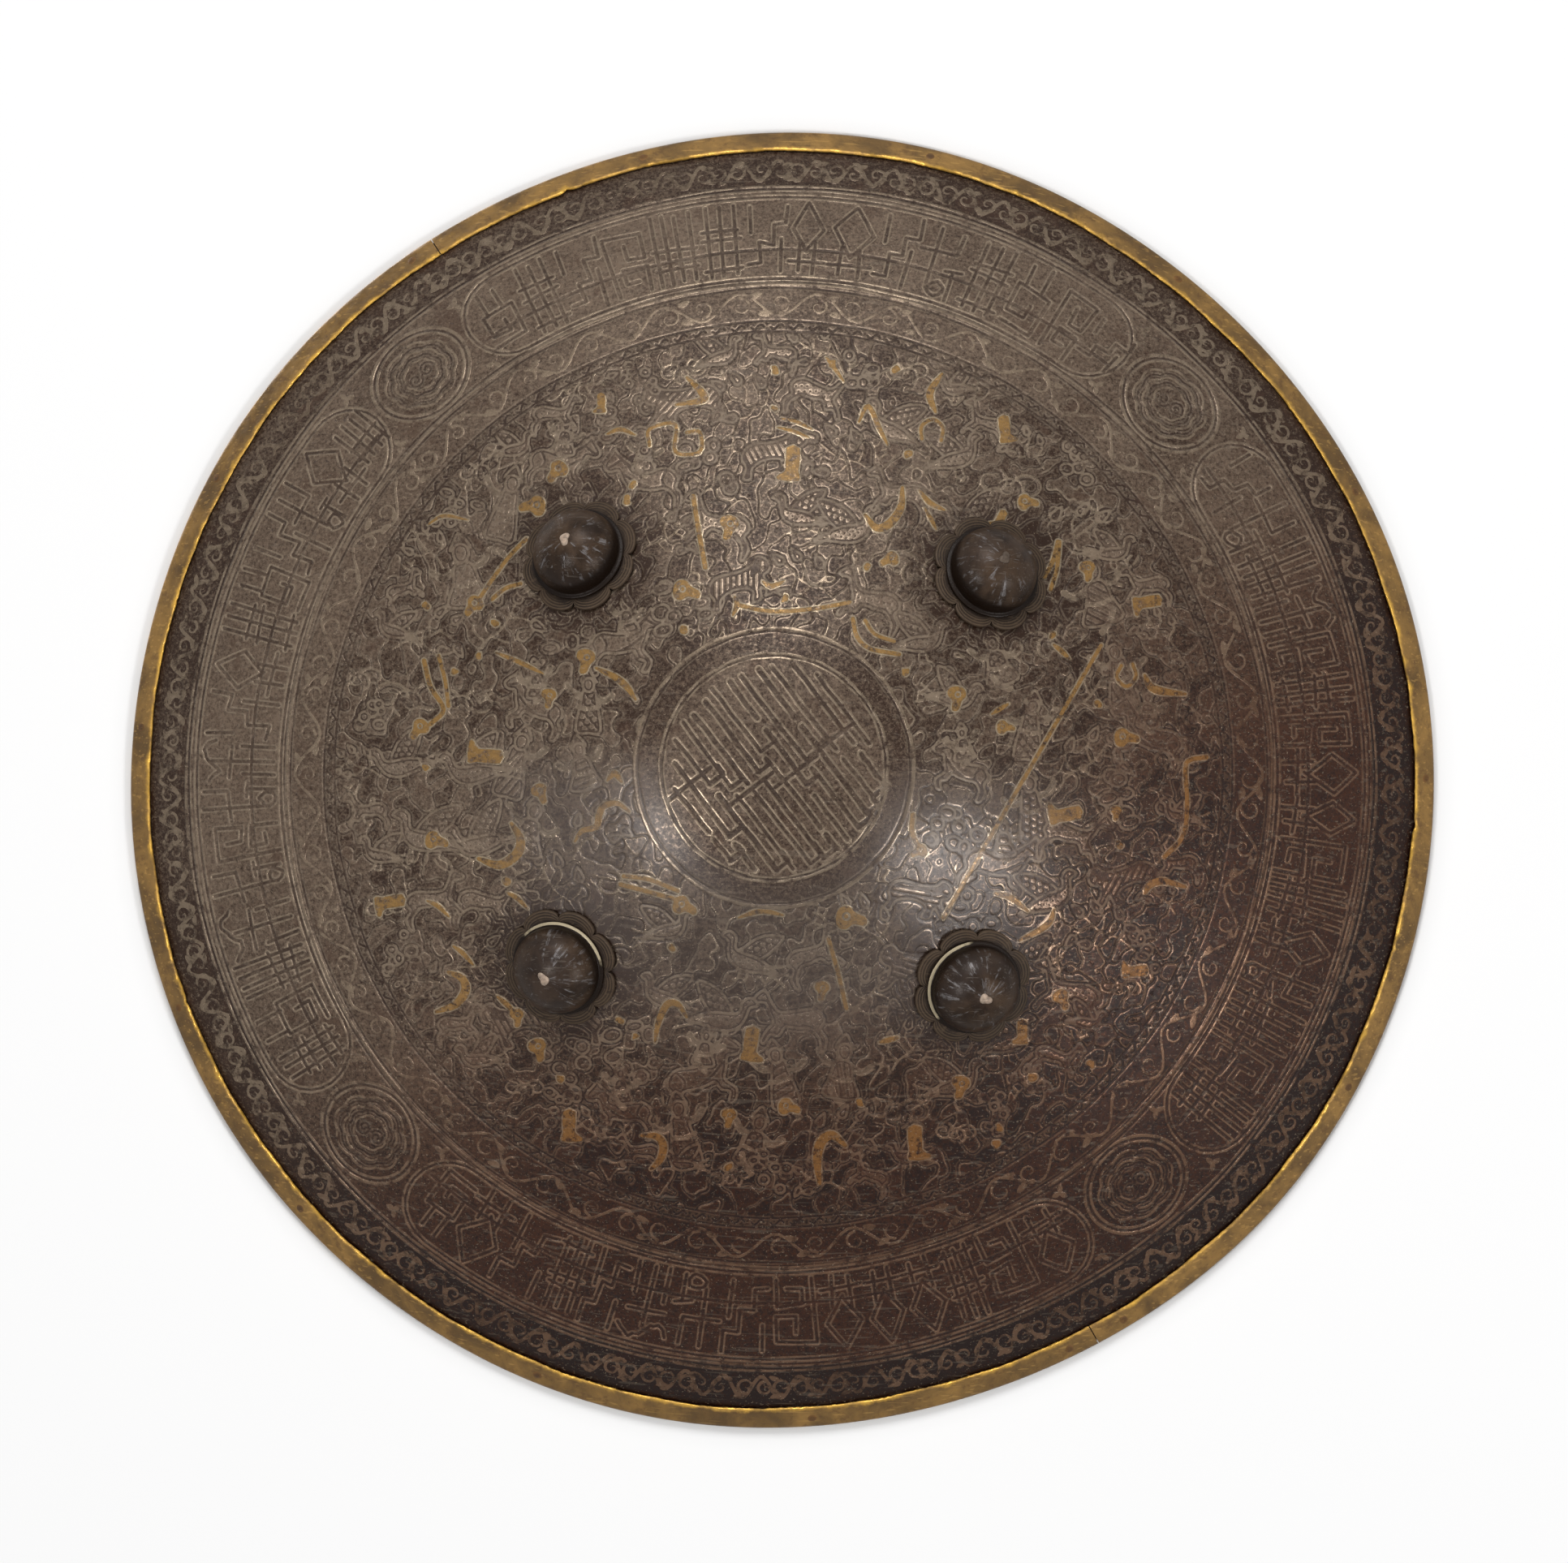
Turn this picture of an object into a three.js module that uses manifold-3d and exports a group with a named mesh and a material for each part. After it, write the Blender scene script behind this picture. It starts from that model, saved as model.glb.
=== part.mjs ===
// Round hand shield of dished steel, held behind by two padded grips.
// The convex face looks up (+Z) and the shield stands on its rim; +Y is the top of the face, and all lengths are
// in millimetres. A brass channel in two halves is folded over the plate's edge and riveted through. Four hollow
// bosses sit on eight-lobed rosettes. Each is clamped by one forged stud, peened over at the boss's crown, whose
// eye carries an iron ring inside. A grip hangs between each pair of rings and swings like a bail. A fabric
// lining covers the hollow, and a square knuckle cushion lies at its centre.
import * as THREE from "three";
import { mergeVertices } from "three/addons/utils/BufferGeometryUtils.js";
import Module from "manifold-3d";

const wasm = await Module();
wasm.setup();

// Driving dimensions of the shield
const SHIELD_DIAMETER = 470;
const CROWN_DIAMETER = 130;
const CROWN_SLOPE = THREE.MathUtils.degToRad(22);
const FLANK_DIAMETER = 324;
const FLANK_SLOPE = THREE.MathUtils.degToRad(25);
const EDGE_SLOPE = THREE.MathUtils.degToRad(36);
const SEAT_GAP = 0.3;
const CUT_OVERRUN = 5;

// Plate
const PLATE_THICKNESS = 1.4;

// Brass binding
const BINDING_THICKNESS = 1;
const BINDING_FACE_WIDTH = 7.8;
const BINDING_FOOT_WIDTH = 1.7;
const BINDING_SEAM_WIDTH = 0.4;
const BINDING_SEAM_CLOCK_DEG = [148, 324.5];

// Rivets through the binding, clockwise from the top of the face
const RIVET_DIAMETER = 3.4;
const RIVET_INSET = 3;
const RIVET_PROUD = 0.1;
const RIVET_CLOCK_DEG = [11, 36, 61, 87.5, 116, 145, 150.5, 174.5, 199.5, 225.5, 246.5, 272, 295.5, 322, 345];

// Bosses, their rosettes and studs
const BOSS_CIRCLE_DIAMETER = 200;
const BOSS_NAMES = ["upper_right", "upper_left", "lower_left", "lower_right"];
const BOSS_DIAMETER = 30;
const BOSS_SIDE_HEIGHT = 2.2;
const BOSS_CAP_HEIGHT = 12.4;
const BOSS_WALL = 1.3;
const BOSS_FLANGE_DIAMETER = 33;
const BOSS_FLANGE_HEIGHT = 1.3;
const ROSETTE_DIAMETER = 42;
const ROSETTE_LOBES = 8;
const ROSETTE_NOTCH_DEPTH = 3.2;
const ROSETTE_THICKNESS = 1.4;
const STUD_DIAMETER = 4.2;
const STUD_HEAD_DIAMETER = 5.6;
const STUD_HEAD_HEIGHT = 0.6;
const EYE_DIAMETER = 10.4;
const EYE_WIRE_DIAMETER = 3.6;
const EYE_DROP = 8.5;
const WASHER_DIAMETER = 19;
const WASHER_THICKNESS = 1.2;

// Rings and grips
const RING_DIAMETER = 26;
const RING_WIRE_DIAMETER = 3.8;
const TAB_WIDTH = 7;
const TAB_LEATHER = 1.6;
const TAB_HOLE_DIAMETER = 5.6;
const TAB_NECK_LENGTH = 6;
const GRIP_SAG = 13;
const GRIP_END_DIAMETER = 7;
const GRIP_MIDDLE_DIAMETER = 15;
const GRIP_SQUARENESS = 2.6;

// Lining and knuckle cushion
const LINING_THICKNESS = 1.5;
const LINING_EDGE_MARGIN = 2;
const CUSHION_WIDTH = 104;
const CUSHION_THICKNESS = 18;
const CUSHION_SIDE_DRAW = 5;
const CUSHION_SEAM_DEPTH = 6;

// How finely curves are faceted
const ROUND_STEPS = 48;
const PROFILE_STEPS = 9;
const BOSS_STEPS = 20;
const LOBE_STEPS = 4;
const CAP_STEPS = 4;
const WASHER_STEPS = 12;
const SMALL_STEPS = 8;
const EYE_STEPS = 12;
const RING_STEPS = 20;
const WIRE_SIDES = 6;
const GRIP_STEPS = 18;
const GRIP_SIDES = 10;
const CUSHION_STEPS = 16;

// Worked-out places: the edge of the plate stands in a channel whose nose is round and flat underneath
const SHIELD_RADIUS = SHIELD_DIAMETER / 2;
const NOSE_RADIUS = PLATE_THICKNESS / 2 + SEAT_GAP + BINDING_THICKNESS;
const FOOT_HALF_ANGLE = Math.asin(BINDING_FOOT_WIDTH / 2 / NOSE_RADIUS);
const EDGE_RADIUS = SHIELD_RADIUS - NOSE_RADIUS + (PLATE_THICKNESS / 2) * Math.sin(EDGE_SLOPE);
const EDGE_HEIGHT = NOSE_RADIUS * Math.cos(FOOT_HALF_ANGLE) + (PLATE_THICKNESS / 2) * Math.cos(EDGE_SLOPE);

// The bow of the plate's outer face is three arcs in line: crown, flank and edge, by radius and slope
const CROWN_ARC = arcAfter(null, CROWN_DIAMETER / 2, CROWN_SLOPE);
const FLANK_ARC = arcAfter(CROWN_ARC, FLANK_DIAMETER / 2, FLANK_SLOPE);
const EDGE_ARC = arcAfter(FLANK_ARC, EDGE_RADIUS, EDGE_SLOPE);
const SHIELD_DEPTH = EDGE_HEIGHT + EDGE_ARC.endDrop;

// Depths along the plate's normal, from its outer face: outwards is positive
const ROSETTE_FOOT = SEAT_GAP;
const ROSETTE_TOP = ROSETTE_FOOT + ROSETTE_THICKNESS;
const BOSS_FOOT = ROSETTE_TOP + SEAT_GAP;
const LINING_OUTSIDE = -PLATE_THICKNESS - SEAT_GAP;
const LINING_INSIDE = LINING_OUTSIDE - LINING_THICKNESS;
const WASHER_OUTSIDE = LINING_INSIDE - SEAT_GAP;
const WASHER_INSIDE = WASHER_OUTSIDE - WASHER_THICKNESS;
const EYE_DEPTH = WASHER_INSIDE - EYE_DROP;

const steel = new THREE.MeshStandardMaterial({ color: 0x4d4640, roughness: 0.55, metalness: 0.8 });
const bossIron = new THREE.MeshStandardMaterial({ color: 0x3a3735, roughness: 0.35, metalness: 0.9 });
const rosetteIron = new THREE.MeshStandardMaterial({ color: 0x37302a, roughness: 0.6, metalness: 0.8 });
const brass = new THREE.MeshStandardMaterial({ color: 0x95702a, roughness: 0.4, metalness: 1 });
const rivetIron = new THREE.MeshStandardMaterial({ color: 0x3b3029, roughness: 0.6, metalness: 0.7 });
const leather = new THREE.MeshStandardMaterial({ color: 0x4a2a1c, roughness: 0.7, metalness: 0 });
const liningCloth = new THREE.MeshStandardMaterial({ color: 0x5a2622, roughness: 0.95, metalness: 0 });
const cushionVelvet = new THREE.MeshStandardMaterial({ color: 0x5e1f22, roughness: 0.9, metalness: 0 });

// An arc that carries on from the one before it: sin(slope) grows evenly with the radius in plan, and the drop
// below the crown is bend radius * (cos(first slope) - cos(slope)).
function arcAfter(before, endRadius, endSlope) {
  const { endRadius: radius, endSlope: slope, endDrop: drop } = before ?? { endRadius: 0, endSlope: 0, endDrop: 0 };
  const bend = (endRadius - radius) / (Math.sin(endSlope) - Math.sin(slope));
  const endDrop = drop + bend * (Math.cos(slope) - Math.cos(endSlope));
  return { radius, slope, drop, bend, endRadius, endSlope, endDrop };
}

function arcAt(radius) {
  return [EDGE_ARC, FLANK_ARC].find((arc) => radius > arc.radius) ?? CROWN_ARC;
}

function bowSlope(radius) {
  const arc = arcAt(radius);
  return Math.asin(Math.sin(arc.slope) + (radius - arc.radius) / arc.bend);
}

function bowHeight(radius) {
  const arc = arcAt(radius);
  return SHIELD_DEPTH - arc.drop - arc.bend * (Math.cos(arc.slope) - Math.cos(bowSlope(radius)));
}

// A point of the (radius, height) plane at a distance from the outer face, along its normal.
function offsetPoint(radius, offset) {
  const slope = bowSlope(radius);
  return new THREE.Vector2(radius + offset * Math.sin(slope), bowHeight(radius) + offset * Math.cos(slope));
}

// The bow from the axis out to a radius, moved along its normal.
function bowCurve(offset, outTo = EDGE_RADIUS) {
  const stations = Array.from({ length: PROFILE_STEPS }, (_, i) => (EDGE_RADIUS * i) / PROFILE_STEPS);
  return [...stations.filter((radius) => radius < outTo), outTo].map((radius) => offsetPoint(radius, offset));
}

// Height of the bow moved along its normal, over a place in plan, found by stepping the foot of the normal.
function heightOver(radius, offset) {
  let foot = radius;
  for (let i = 0; i < PROFILE_STEPS; i++) foot = radius - offset * Math.sin(bowSlope(foot));
  return offsetPoint(foot, offset).y;
}

// A closed outline of the (radius, height) plane turned about the Z axis.
function revolve(outline, steps) {
  return new THREE.LatheGeometry(outline, steps).rotateX(Math.PI / 2);
}

function solidOf(geometry) {
  const bare = geometry.clone();
  bare.deleteAttribute("normal");
  bare.deleteAttribute("uv");
  const merged = mergeVertices(bare);
  const { array } = merged.getAttribute("position");
  return new wasm.Manifold(
    new wasm.Mesh({ numProp: 3, vertProperties: array, triVerts: new Uint32Array(merged.index.array) }),
  );
}

function geometryOf(solid) {
  const { vertProperties, triVerts } = solid.getMesh();
  const geometry = new THREE.BufferGeometry();
  geometry.setAttribute("position", new THREE.BufferAttribute(vertProperties, 3));
  geometry.setIndex(new THREE.BufferAttribute(triVerts, 1));
  geometry.computeVertexNormals();
  return geometry;
}

// Everything under the bow moved along its normal, down past the rest plane: pieces are cut to seat on it.
function underBow(offset) {
  const curve = bowCurve(offset);
  const skirt = new THREE.Vector2(curve[curve.length - 1].x, -CUT_OVERRUN);
  const outline = [new THREE.Vector2(0, -CUT_OVERRUN), skirt, ...curve.reverse()];
  return solidOf(revolve(outline, ROUND_STEPS));
}

// A layer that follows the bow between two distances from its outer face.
function bowLayer(inside, outside) {
  return underBow(outside).subtract(underBow(inside));
}

// A frame on the bow: its Z axis is the outward normal at a radius and a clock angle, its X axis runs outwards.
function frameOnBow(radius, azimuth, offset = 0) {
  const place = offsetPoint(radius, offset);
  const slope = bowSlope(radius);
  return new THREE.Matrix4()
    .makeRotationZ(azimuth)
    .multiply(new THREE.Matrix4().makeTranslation(place.x, 0, place.y))
    .multiply(new THREE.Matrix4().makeRotationY(slope));
}

function clockAzimuth(clockDegrees) {
  return THREE.MathUtils.degToRad(90 - clockDegrees);
}

function cylinderAlongZ(diameter, bottom, top, sides) {
  const radius = diameter / 2;
  return new THREE.CylinderGeometry(radius, radius, top - bottom, sides)
    .rotateX(Math.PI / 2)
    .translate(0, 0, (top + bottom) / 2);
}

// Where each rivet goes: the frame's origin lies at mid thickness of the plate, and Z is the rivet's axis.
function rivetFrame(clockDegrees) {
  const radius = EDGE_RADIUS - RIVET_INSET * Math.cos(EDGE_SLOPE);
  return frameOnBow(radius, clockAzimuth(clockDegrees), -PLATE_THICKNESS / 2);
}

function rivetHoles() {
  const reach = NOSE_RADIUS + CUT_OVERRUN;
  const bore = cylinderAlongZ(RIVET_DIAMETER + 2 * SEAT_GAP, -reach, reach, SMALL_STEPS);
  const holes = RIVET_CLOCK_DEG.map((clock) => solidOf(bore.clone().applyMatrix4(rivetFrame(clock))));
  return holes.reduce((all, hole) => all.add(hole));
}

const bossAzimuths = BOSS_NAMES.map((_, i) => Math.PI / 4 + (i * Math.PI) / 2);

function bossFrame(azimuth) {
  return frameOnBow(BOSS_CIRCLE_DIAMETER / 2, azimuth);
}

function studHole(azimuth) {
  const reach = SHIELD_DEPTH / 2;
  const bore = cylinderAlongZ(STUD_DIAMETER + 2 * SEAT_GAP, -reach, reach, SMALL_STEPS);
  return solidOf(bore.applyMatrix4(bossFrame(azimuth)));
}

function platePiece(holesForRivets) {
  const outline = [...bowCurve(-PLATE_THICKNESS), ...bowCurve(0).reverse()];
  const bored = bossAzimuths.reduce(
    (plate, azimuth) => plate.subtract(studHole(azimuth)),
    solidOf(revolve(outline, ROUND_STEPS)),
  );
  return bored.subtract(holesForRivets);
}

// The channel's section: a round nose about the plate's edge, flat underneath, and two flanges along the plate.
function bindingOutline() {
  const edge = offsetPoint(EDGE_RADIUS, -PLATE_THICKNESS / 2);
  const normal = Math.PI / 2 - EDGE_SLOPE;
  const foot = Math.PI / 2;
  const noseAngles = [normal, normal / 2, 0, -foot / 3, -foot + FOOT_HALF_ANGLE, -foot - FOOT_HALF_ANGLE];
  const nose = [...noseAngles, normal - Math.PI].map((angle) =>
    new THREE.Vector2(Math.cos(angle), Math.sin(angle)).multiplyScalar(NOSE_RADIUS).add(edge),
  );
  const flangeEnd = BINDING_FACE_WIDTH - BINDING_THICKNESS / 2;
  const along = (distance, height) =>
    new THREE.Vector2(
      edge.x - distance * Math.cos(EDGE_SLOPE) + height * Math.sin(EDGE_SLOPE),
      edge.y + distance * Math.sin(EDGE_SLOPE) + height * Math.cos(EDGE_SLOPE),
    );
  const slot = NOSE_RADIUS - BINDING_THICKNESS;
  const middle = NOSE_RADIUS - BINDING_THICKNESS / 2;
  const outline = [
    along(-SEAT_GAP, slot),
    along(-SEAT_GAP, -slot),
    along(flangeEnd, -slot),
    along(BINDING_FACE_WIDTH, -middle),
    along(flangeEnd, -NOSE_RADIUS),
    ...nose.reverse(),
    along(flangeEnd, NOSE_RADIUS),
    along(BINDING_FACE_WIDTH, middle),
    along(flangeEnd, slot),
  ];
  return [...outline, outline[0]];
}

// The ring is cut at its two butt seams, and each half keeps the side that its middle lies on.
function bindingHalves(holesForRivets) {
  const reach = SHIELD_RADIUS + CUT_OVERRUN;
  const ring = solidOf(revolve(bindingOutline(), ROUND_STEPS)).subtract(holesForRivets);
  const seam = new THREE.BoxGeometry(reach, BINDING_SEAM_WIDTH, SHIELD_DEPTH).translate(reach / 2, 0, 0);
  const cut = BINDING_SEAM_CLOCK_DEG.reduce(
    (whole, clock) => whole.subtract(solidOf(seam.clone().rotateZ(clockAzimuth(clock)))),
    ring,
  );
  return cut.decompose().sort((a, b) => b.boundingBox().max[0] - a.boundingBox().max[0]);
}

function rivetPiece() {
  const reach = NOSE_RADIUS + RIVET_PROUD;
  return cylinderAlongZ(RIVET_DIAMETER, -reach, reach, SMALL_STEPS);
}

// Eight round lobes with a sharp notch between each two: radius = notch + depth * |sin(lobes * angle / 2)| ^ 1/2.
function rosetteOutline() {
  const notchRadius = ROSETTE_DIAMETER / 2 - ROSETTE_NOTCH_DEPTH;
  const count = ROSETTE_LOBES * LOBE_STEPS;
  const points = Array.from({ length: count }, (_, i) => {
    const angle = (i * 2 * Math.PI) / count;
    const swell = Math.sqrt(Math.abs(Math.sin((ROSETTE_LOBES * angle) / 2)));
    const radius = notchRadius + ROSETTE_NOTCH_DEPTH * swell;
    return new THREE.Vector2(radius * Math.cos(angle), radius * Math.sin(angle));
  });
  return new THREE.Shape(points);
}

function rosettePiece(azimuth) {
  const depth = 2 * (ROSETTE_TOP + CUT_OVERRUN);
  const block = new THREE.ExtrudeGeometry(rosetteOutline(), { depth, bevelEnabled: false, steps: 1 });
  block.translate(0, 0, -depth / 2).applyMatrix4(bossFrame(azimuth));
  return solidOf(block).intersect(bowLayer(ROSETTE_FOOT, ROSETTE_TOP)).subtract(studHole(azimuth));
}

// Half of a boss's section: a flange, a short straight side and a quarter ellipse up to the crown.
function bossWall(radius, capHeight) {
  return Array.from({ length: CAP_STEPS + 1 }, (_, i) => {
    const angle = (i * Math.PI) / 2 / CAP_STEPS;
    return new THREE.Vector2(
      i === CAP_STEPS ? 0 : radius * Math.cos(angle),
      BOSS_FOOT + BOSS_SIDE_HEIGHT + capHeight * Math.sin(angle),
    );
  });
}

function bossPiece(azimuth) {
  const radius = BOSS_DIAMETER / 2;
  const base = BOSS_FOOT - CUT_OVERRUN;
  const flangeTop = BOSS_FOOT + BOSS_FLANGE_HEIGHT;
  const outside = [
    new THREE.Vector2(0, base),
    new THREE.Vector2(BOSS_FLANGE_DIAMETER / 2, base),
    new THREE.Vector2(BOSS_FLANGE_DIAMETER / 2, flangeTop),
    new THREE.Vector2(radius, flangeTop),
    ...bossWall(radius, BOSS_CAP_HEIGHT),
  ];
  const hollow = [
    new THREE.Vector2(0, base - CUT_OVERRUN),
    new THREE.Vector2(radius - BOSS_WALL, base - CUT_OVERRUN),
    ...bossWall(radius - BOSS_WALL, BOSS_CAP_HEIGHT - BOSS_WALL),
  ];
  const frame = bossFrame(azimuth);
  return solidOf(revolve(outside, BOSS_STEPS).applyMatrix4(frame))
    .subtract(solidOf(revolve(hollow, BOSS_STEPS).applyMatrix4(frame)))
    .subtract(underBow(BOSS_FOOT))
    .subtract(studHole(azimuth));
}

function eyeCentre(azimuth) {
  return new THREE.Vector3(0, 0, EYE_DEPTH).applyMatrix4(bossFrame(azimuth));
}

// A stud from its peened head on the boss's crown down to the eye, whose hole runs along Y.
function studPiece(azimuth) {
  const crown = BOSS_FOOT + BOSS_SIDE_HEIGHT + BOSS_CAP_HEIGHT;
  const headFoot = crown + SEAT_GAP;
  const outline = [
    new THREE.Vector2(0, EYE_DEPTH + EYE_DIAMETER / 2),
    new THREE.Vector2(STUD_DIAMETER / 2, EYE_DEPTH + EYE_DIAMETER / 2),
    new THREE.Vector2(STUD_DIAMETER / 2, headFoot),
    new THREE.Vector2(STUD_HEAD_DIAMETER / 2, headFoot),
    new THREE.Vector2(STUD_DIAMETER / 2, headFoot + STUD_HEAD_HEIGHT),
    new THREE.Vector2(0, headFoot + STUD_HEAD_HEIGHT),
  ];
  const shank = solidOf(revolve(outline, SMALL_STEPS).applyMatrix4(bossFrame(azimuth)));
  const centre = eyeCentre(azimuth);
  const eye = new THREE.TorusGeometry(EYE_DIAMETER / 2, EYE_WIRE_DIAMETER / 2, WIRE_SIDES, EYE_STEPS);
  eye.rotateX(Math.PI / 2).translate(centre.x, centre.y, centre.z);
  return shank.add(solidOf(eye));
}

function washerPiece(azimuth) {
  const reach = EYE_DROP - WASHER_INSIDE;
  const block = cylinderAlongZ(WASHER_DIAMETER, -reach, 0, WASHER_STEPS).applyMatrix4(bossFrame(azimuth));
  return solidOf(block).intersect(bowLayer(WASHER_INSIDE, WASHER_OUTSIDE)).subtract(studHole(azimuth));
}

// The cloth stops short of the binding's inner flange, and each stud passes through it.
function liningPiece() {
  const outTo = EDGE_RADIUS - (BINDING_FACE_WIDTH + LINING_EDGE_MARGIN) * Math.cos(EDGE_SLOPE);
  const outline = [...bowCurve(LINING_INSIDE, outTo), ...bowCurve(LINING_OUTSIDE, outTo).reverse()];
  return bossAzimuths.reduce(
    (cloth, azimuth) => cloth.subtract(studHole(azimuth)),
    solidOf(revolve(outline, ROUND_STEPS)),
  );
}

// Rings hang on the lower side of the eyes, in the plane of their grip.
const eyeHole = (EYE_DIAMETER - EYE_WIRE_DIAMETER) / 2;
const eye = eyeCentre(bossAzimuths[0]);
const swingHeight = eye.z - eyeHole + SEAT_GAP + RING_WIRE_DIAMETER / 2;
const ringBottom = swingHeight - RING_DIAMETER;

function ringGeometry() {
  return new THREE.TorusGeometry(RING_DIAMETER / 2, RING_WIRE_DIAMETER / 2, WIRE_SIDES, RING_STEPS)
    .rotateY(Math.PI / 2)
    .translate(0, 0, -RING_DIAMETER / 2);
}

// The wire of a ring climbs away from a straight tab by this much at the tab's sides.
const wireClimb = RING_DIAMETER / 2 - Math.sqrt((RING_DIAMETER / 2) ** 2 - (TAB_WIDTH / 2) ** 2);
const tabCentre = ringBottom + RING_WIRE_DIAMETER / 2 + wireClimb + SEAT_GAP - TAB_HOLE_DIAMETER / 2;

// A leather tab folded round the ring's wire: a teardrop with a round hole, as wide as the tab along Y.
function tabSolid(y) {
  const loop = TAB_HOLE_DIAMETER / 2 + TAB_LEATHER;
  const neck = GRIP_END_DIAMETER / 2;
  const shape = new THREE.Shape();
  shape.absarc(0, 0, loop, 0, Math.PI, false);
  shape.lineTo(-neck, -loop - TAB_NECK_LENGTH / 2);
  shape.lineTo(neck, -loop - TAB_NECK_LENGTH / 2);
  shape.closePath();
  const hole = new THREE.Path();
  hole.absarc(0, 0, TAB_HOLE_DIAMETER / 2, 0, 2 * Math.PI, true);
  shape.holes.push(hole);
  const tab = new THREE.ExtrudeGeometry(shape, { depth: TAB_WIDTH, bevelEnabled: false, curveSegments: SMALL_STEPS });
  return solidOf(tab.rotateX(Math.PI / 2).translate(0, y + TAB_WIDTH / 2, tabCentre));
}

// The roll hangs in a flattened U between the tabs, |y|^n + |z|^n = 1 with n the squareness, fat in the middle.
function gripPoint(turn) {
  const start = tabCentre - TAB_HOLE_DIAMETER / 2 - TAB_LEATHER - TAB_NECK_LENGTH / 2;
  const cosine = Math.cos(turn);
  const across = Math.sign(cosine) * Math.abs(cosine) ** (2 / GRIP_SQUARENESS);
  const down = Math.abs(Math.sin(turn)) ** (2 / GRIP_SQUARENESS);
  return new THREE.Vector3(0, eye.y * across, start - GRIP_SAG * down);
}

// A round tube through points, with its own radius at each point and flat ends.
function taperedTube(points, radii, sides) {
  const vertices = [];
  points.forEach((point, i) => {
    const before = points[Math.max(i - 1, 0)];
    const after = points[Math.min(i + 1, points.length - 1)];
    const along = i === 0 || i === points.length - 1 ? new THREE.Vector3(0, 0, 1) : after.clone().sub(before);
    const tilt = Math.atan2(along.y, along.z) + (after.y > before.y ? Math.PI : 0);
    for (let side = 0; side < sides; side++) {
      const angle = (side * 2 * Math.PI) / sides;
      const outwards = radii[i] * Math.sin(angle);
      vertices.push(
        point.x + radii[i] * Math.cos(angle),
        point.y + outwards * Math.cos(tilt),
        point.z - outwards * Math.sin(tilt),
      );
    }
  });
  const firstCentre = vertices.length / 3;
  vertices.push(...points[0].toArray(), ...points[points.length - 1].toArray());
  const faces = [];
  for (let side = 0; side < sides; side++) {
    const next = (side + 1) % sides;
    const lastRing = (points.length - 1) * sides;
    faces.push(firstCentre, next, side, firstCentre + 1, lastRing + side, lastRing + next);
    for (let ring = 0; ring < lastRing; ring += sides) {
      faces.push(ring + side, ring + next, ring + sides + next, ring + side, ring + sides + next, ring + sides + side);
    }
  }
  const tube = new THREE.BufferGeometry();
  tube.setAttribute("position", new THREE.Float32BufferAttribute(vertices, 3));
  return tube.setIndex(faces);
}

function gripPiece() {
  const turns = Array.from({ length: GRIP_STEPS + 1 }, (_, i) => (i * Math.PI) / GRIP_STEPS);
  const swell = GRIP_MIDDLE_DIAMETER - GRIP_END_DIAMETER;
  const radii = turns.map((turn) => (GRIP_END_DIAMETER + swell * Math.sin(turn) ** 2) / 2);
  const roll = solidOf(taperedTube(turns.map(gripPoint), radii, GRIP_SIDES));
  return roll.add(tabSolid(eye.y)).add(tabSolid(-eye.y));
}

// A square pad whose sides draw in between its corners. Its front is crowned, with a sewn channel from corner to
// corner both ways, and its back reaches past the lining, which then cuts it.
function cushionPoint(column, row, onFront) {
  const across = (2 * column) / CUSHION_STEPS - 1;
  const up = (2 * row) / CUSHION_STEPS - 1;
  const draw = CUSHION_SIDE_DRAW / (CUSHION_WIDTH / 2);
  const x = (CUSHION_WIDTH / 2) * across * (1 - draw * (1 - up ** 2));
  const y = (CUSHION_WIDTH / 2) * up * (1 - draw * (1 - across ** 2));
  const radius = Math.hypot(x, y);
  if (!onFront) return [x, y, heightOver(radius, 0)];
  const crown = ((1 - across ** 4) * (1 - up ** 4)) ** (1 / 2);
  const onSeam = Math.abs(across) === Math.abs(up);
  const stuffing = (CUSHION_THICKNESS - (onSeam ? CUSHION_SEAM_DEPTH : 0)) * crown;
  return [x, y, heightOver(radius, LINING_INSIDE - SEAT_GAP) - stuffing];
}

// The corners of the pad's grid in order round its edge, once each.
function cushionBorder() {
  const steps = Array.from({ length: CUSHION_STEPS }, (_, i) => i);
  return [
    ...steps.map((i) => [i, 0]),
    ...steps.map((i) => [CUSHION_STEPS, i]),
    ...steps.map((i) => [CUSHION_STEPS - i, CUSHION_STEPS]),
    ...steps.map((i) => [0, CUSHION_STEPS - i]),
  ];
}

function cushionPiece() {
  const triangles = [];
  const quad = (a, b, c, d) => triangles.push(...a, ...b, ...c, ...a, ...c, ...d);
  for (let column = 0; column < CUSHION_STEPS; column++) {
    for (let row = 0; row < CUSHION_STEPS; row++) {
      for (const onFront of [false, true]) {
        const corners = [
          cushionPoint(column, row, onFront),
          cushionPoint(column + 1, row, onFront),
          cushionPoint(column + 1, row + 1, onFront),
          cushionPoint(column, row + 1, onFront),
        ];
        const turned = column < CUSHION_STEPS / 2 !== row < CUSHION_STEPS / 2;
        const ordered = turned ? [...corners.slice(1), corners[0]] : corners;
        quad(...(onFront ? ordered.reverse() : ordered));
      }
    }
  }
  const border = cushionBorder();
  border.forEach((from, i) => {
    const to = border[(i + 1) % border.length];
    quad(
      cushionPoint(...from, true),
      cushionPoint(...to, true),
      cushionPoint(...to, false),
      cushionPoint(...from, false),
    );
  });
  const pad = new THREE.BufferGeometry();
  pad.setAttribute("position", new THREE.Float32BufferAttribute(triangles, 3));
  return solidOf(pad).intersect(underBow(LINING_INSIDE - SEAT_GAP));
}

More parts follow.
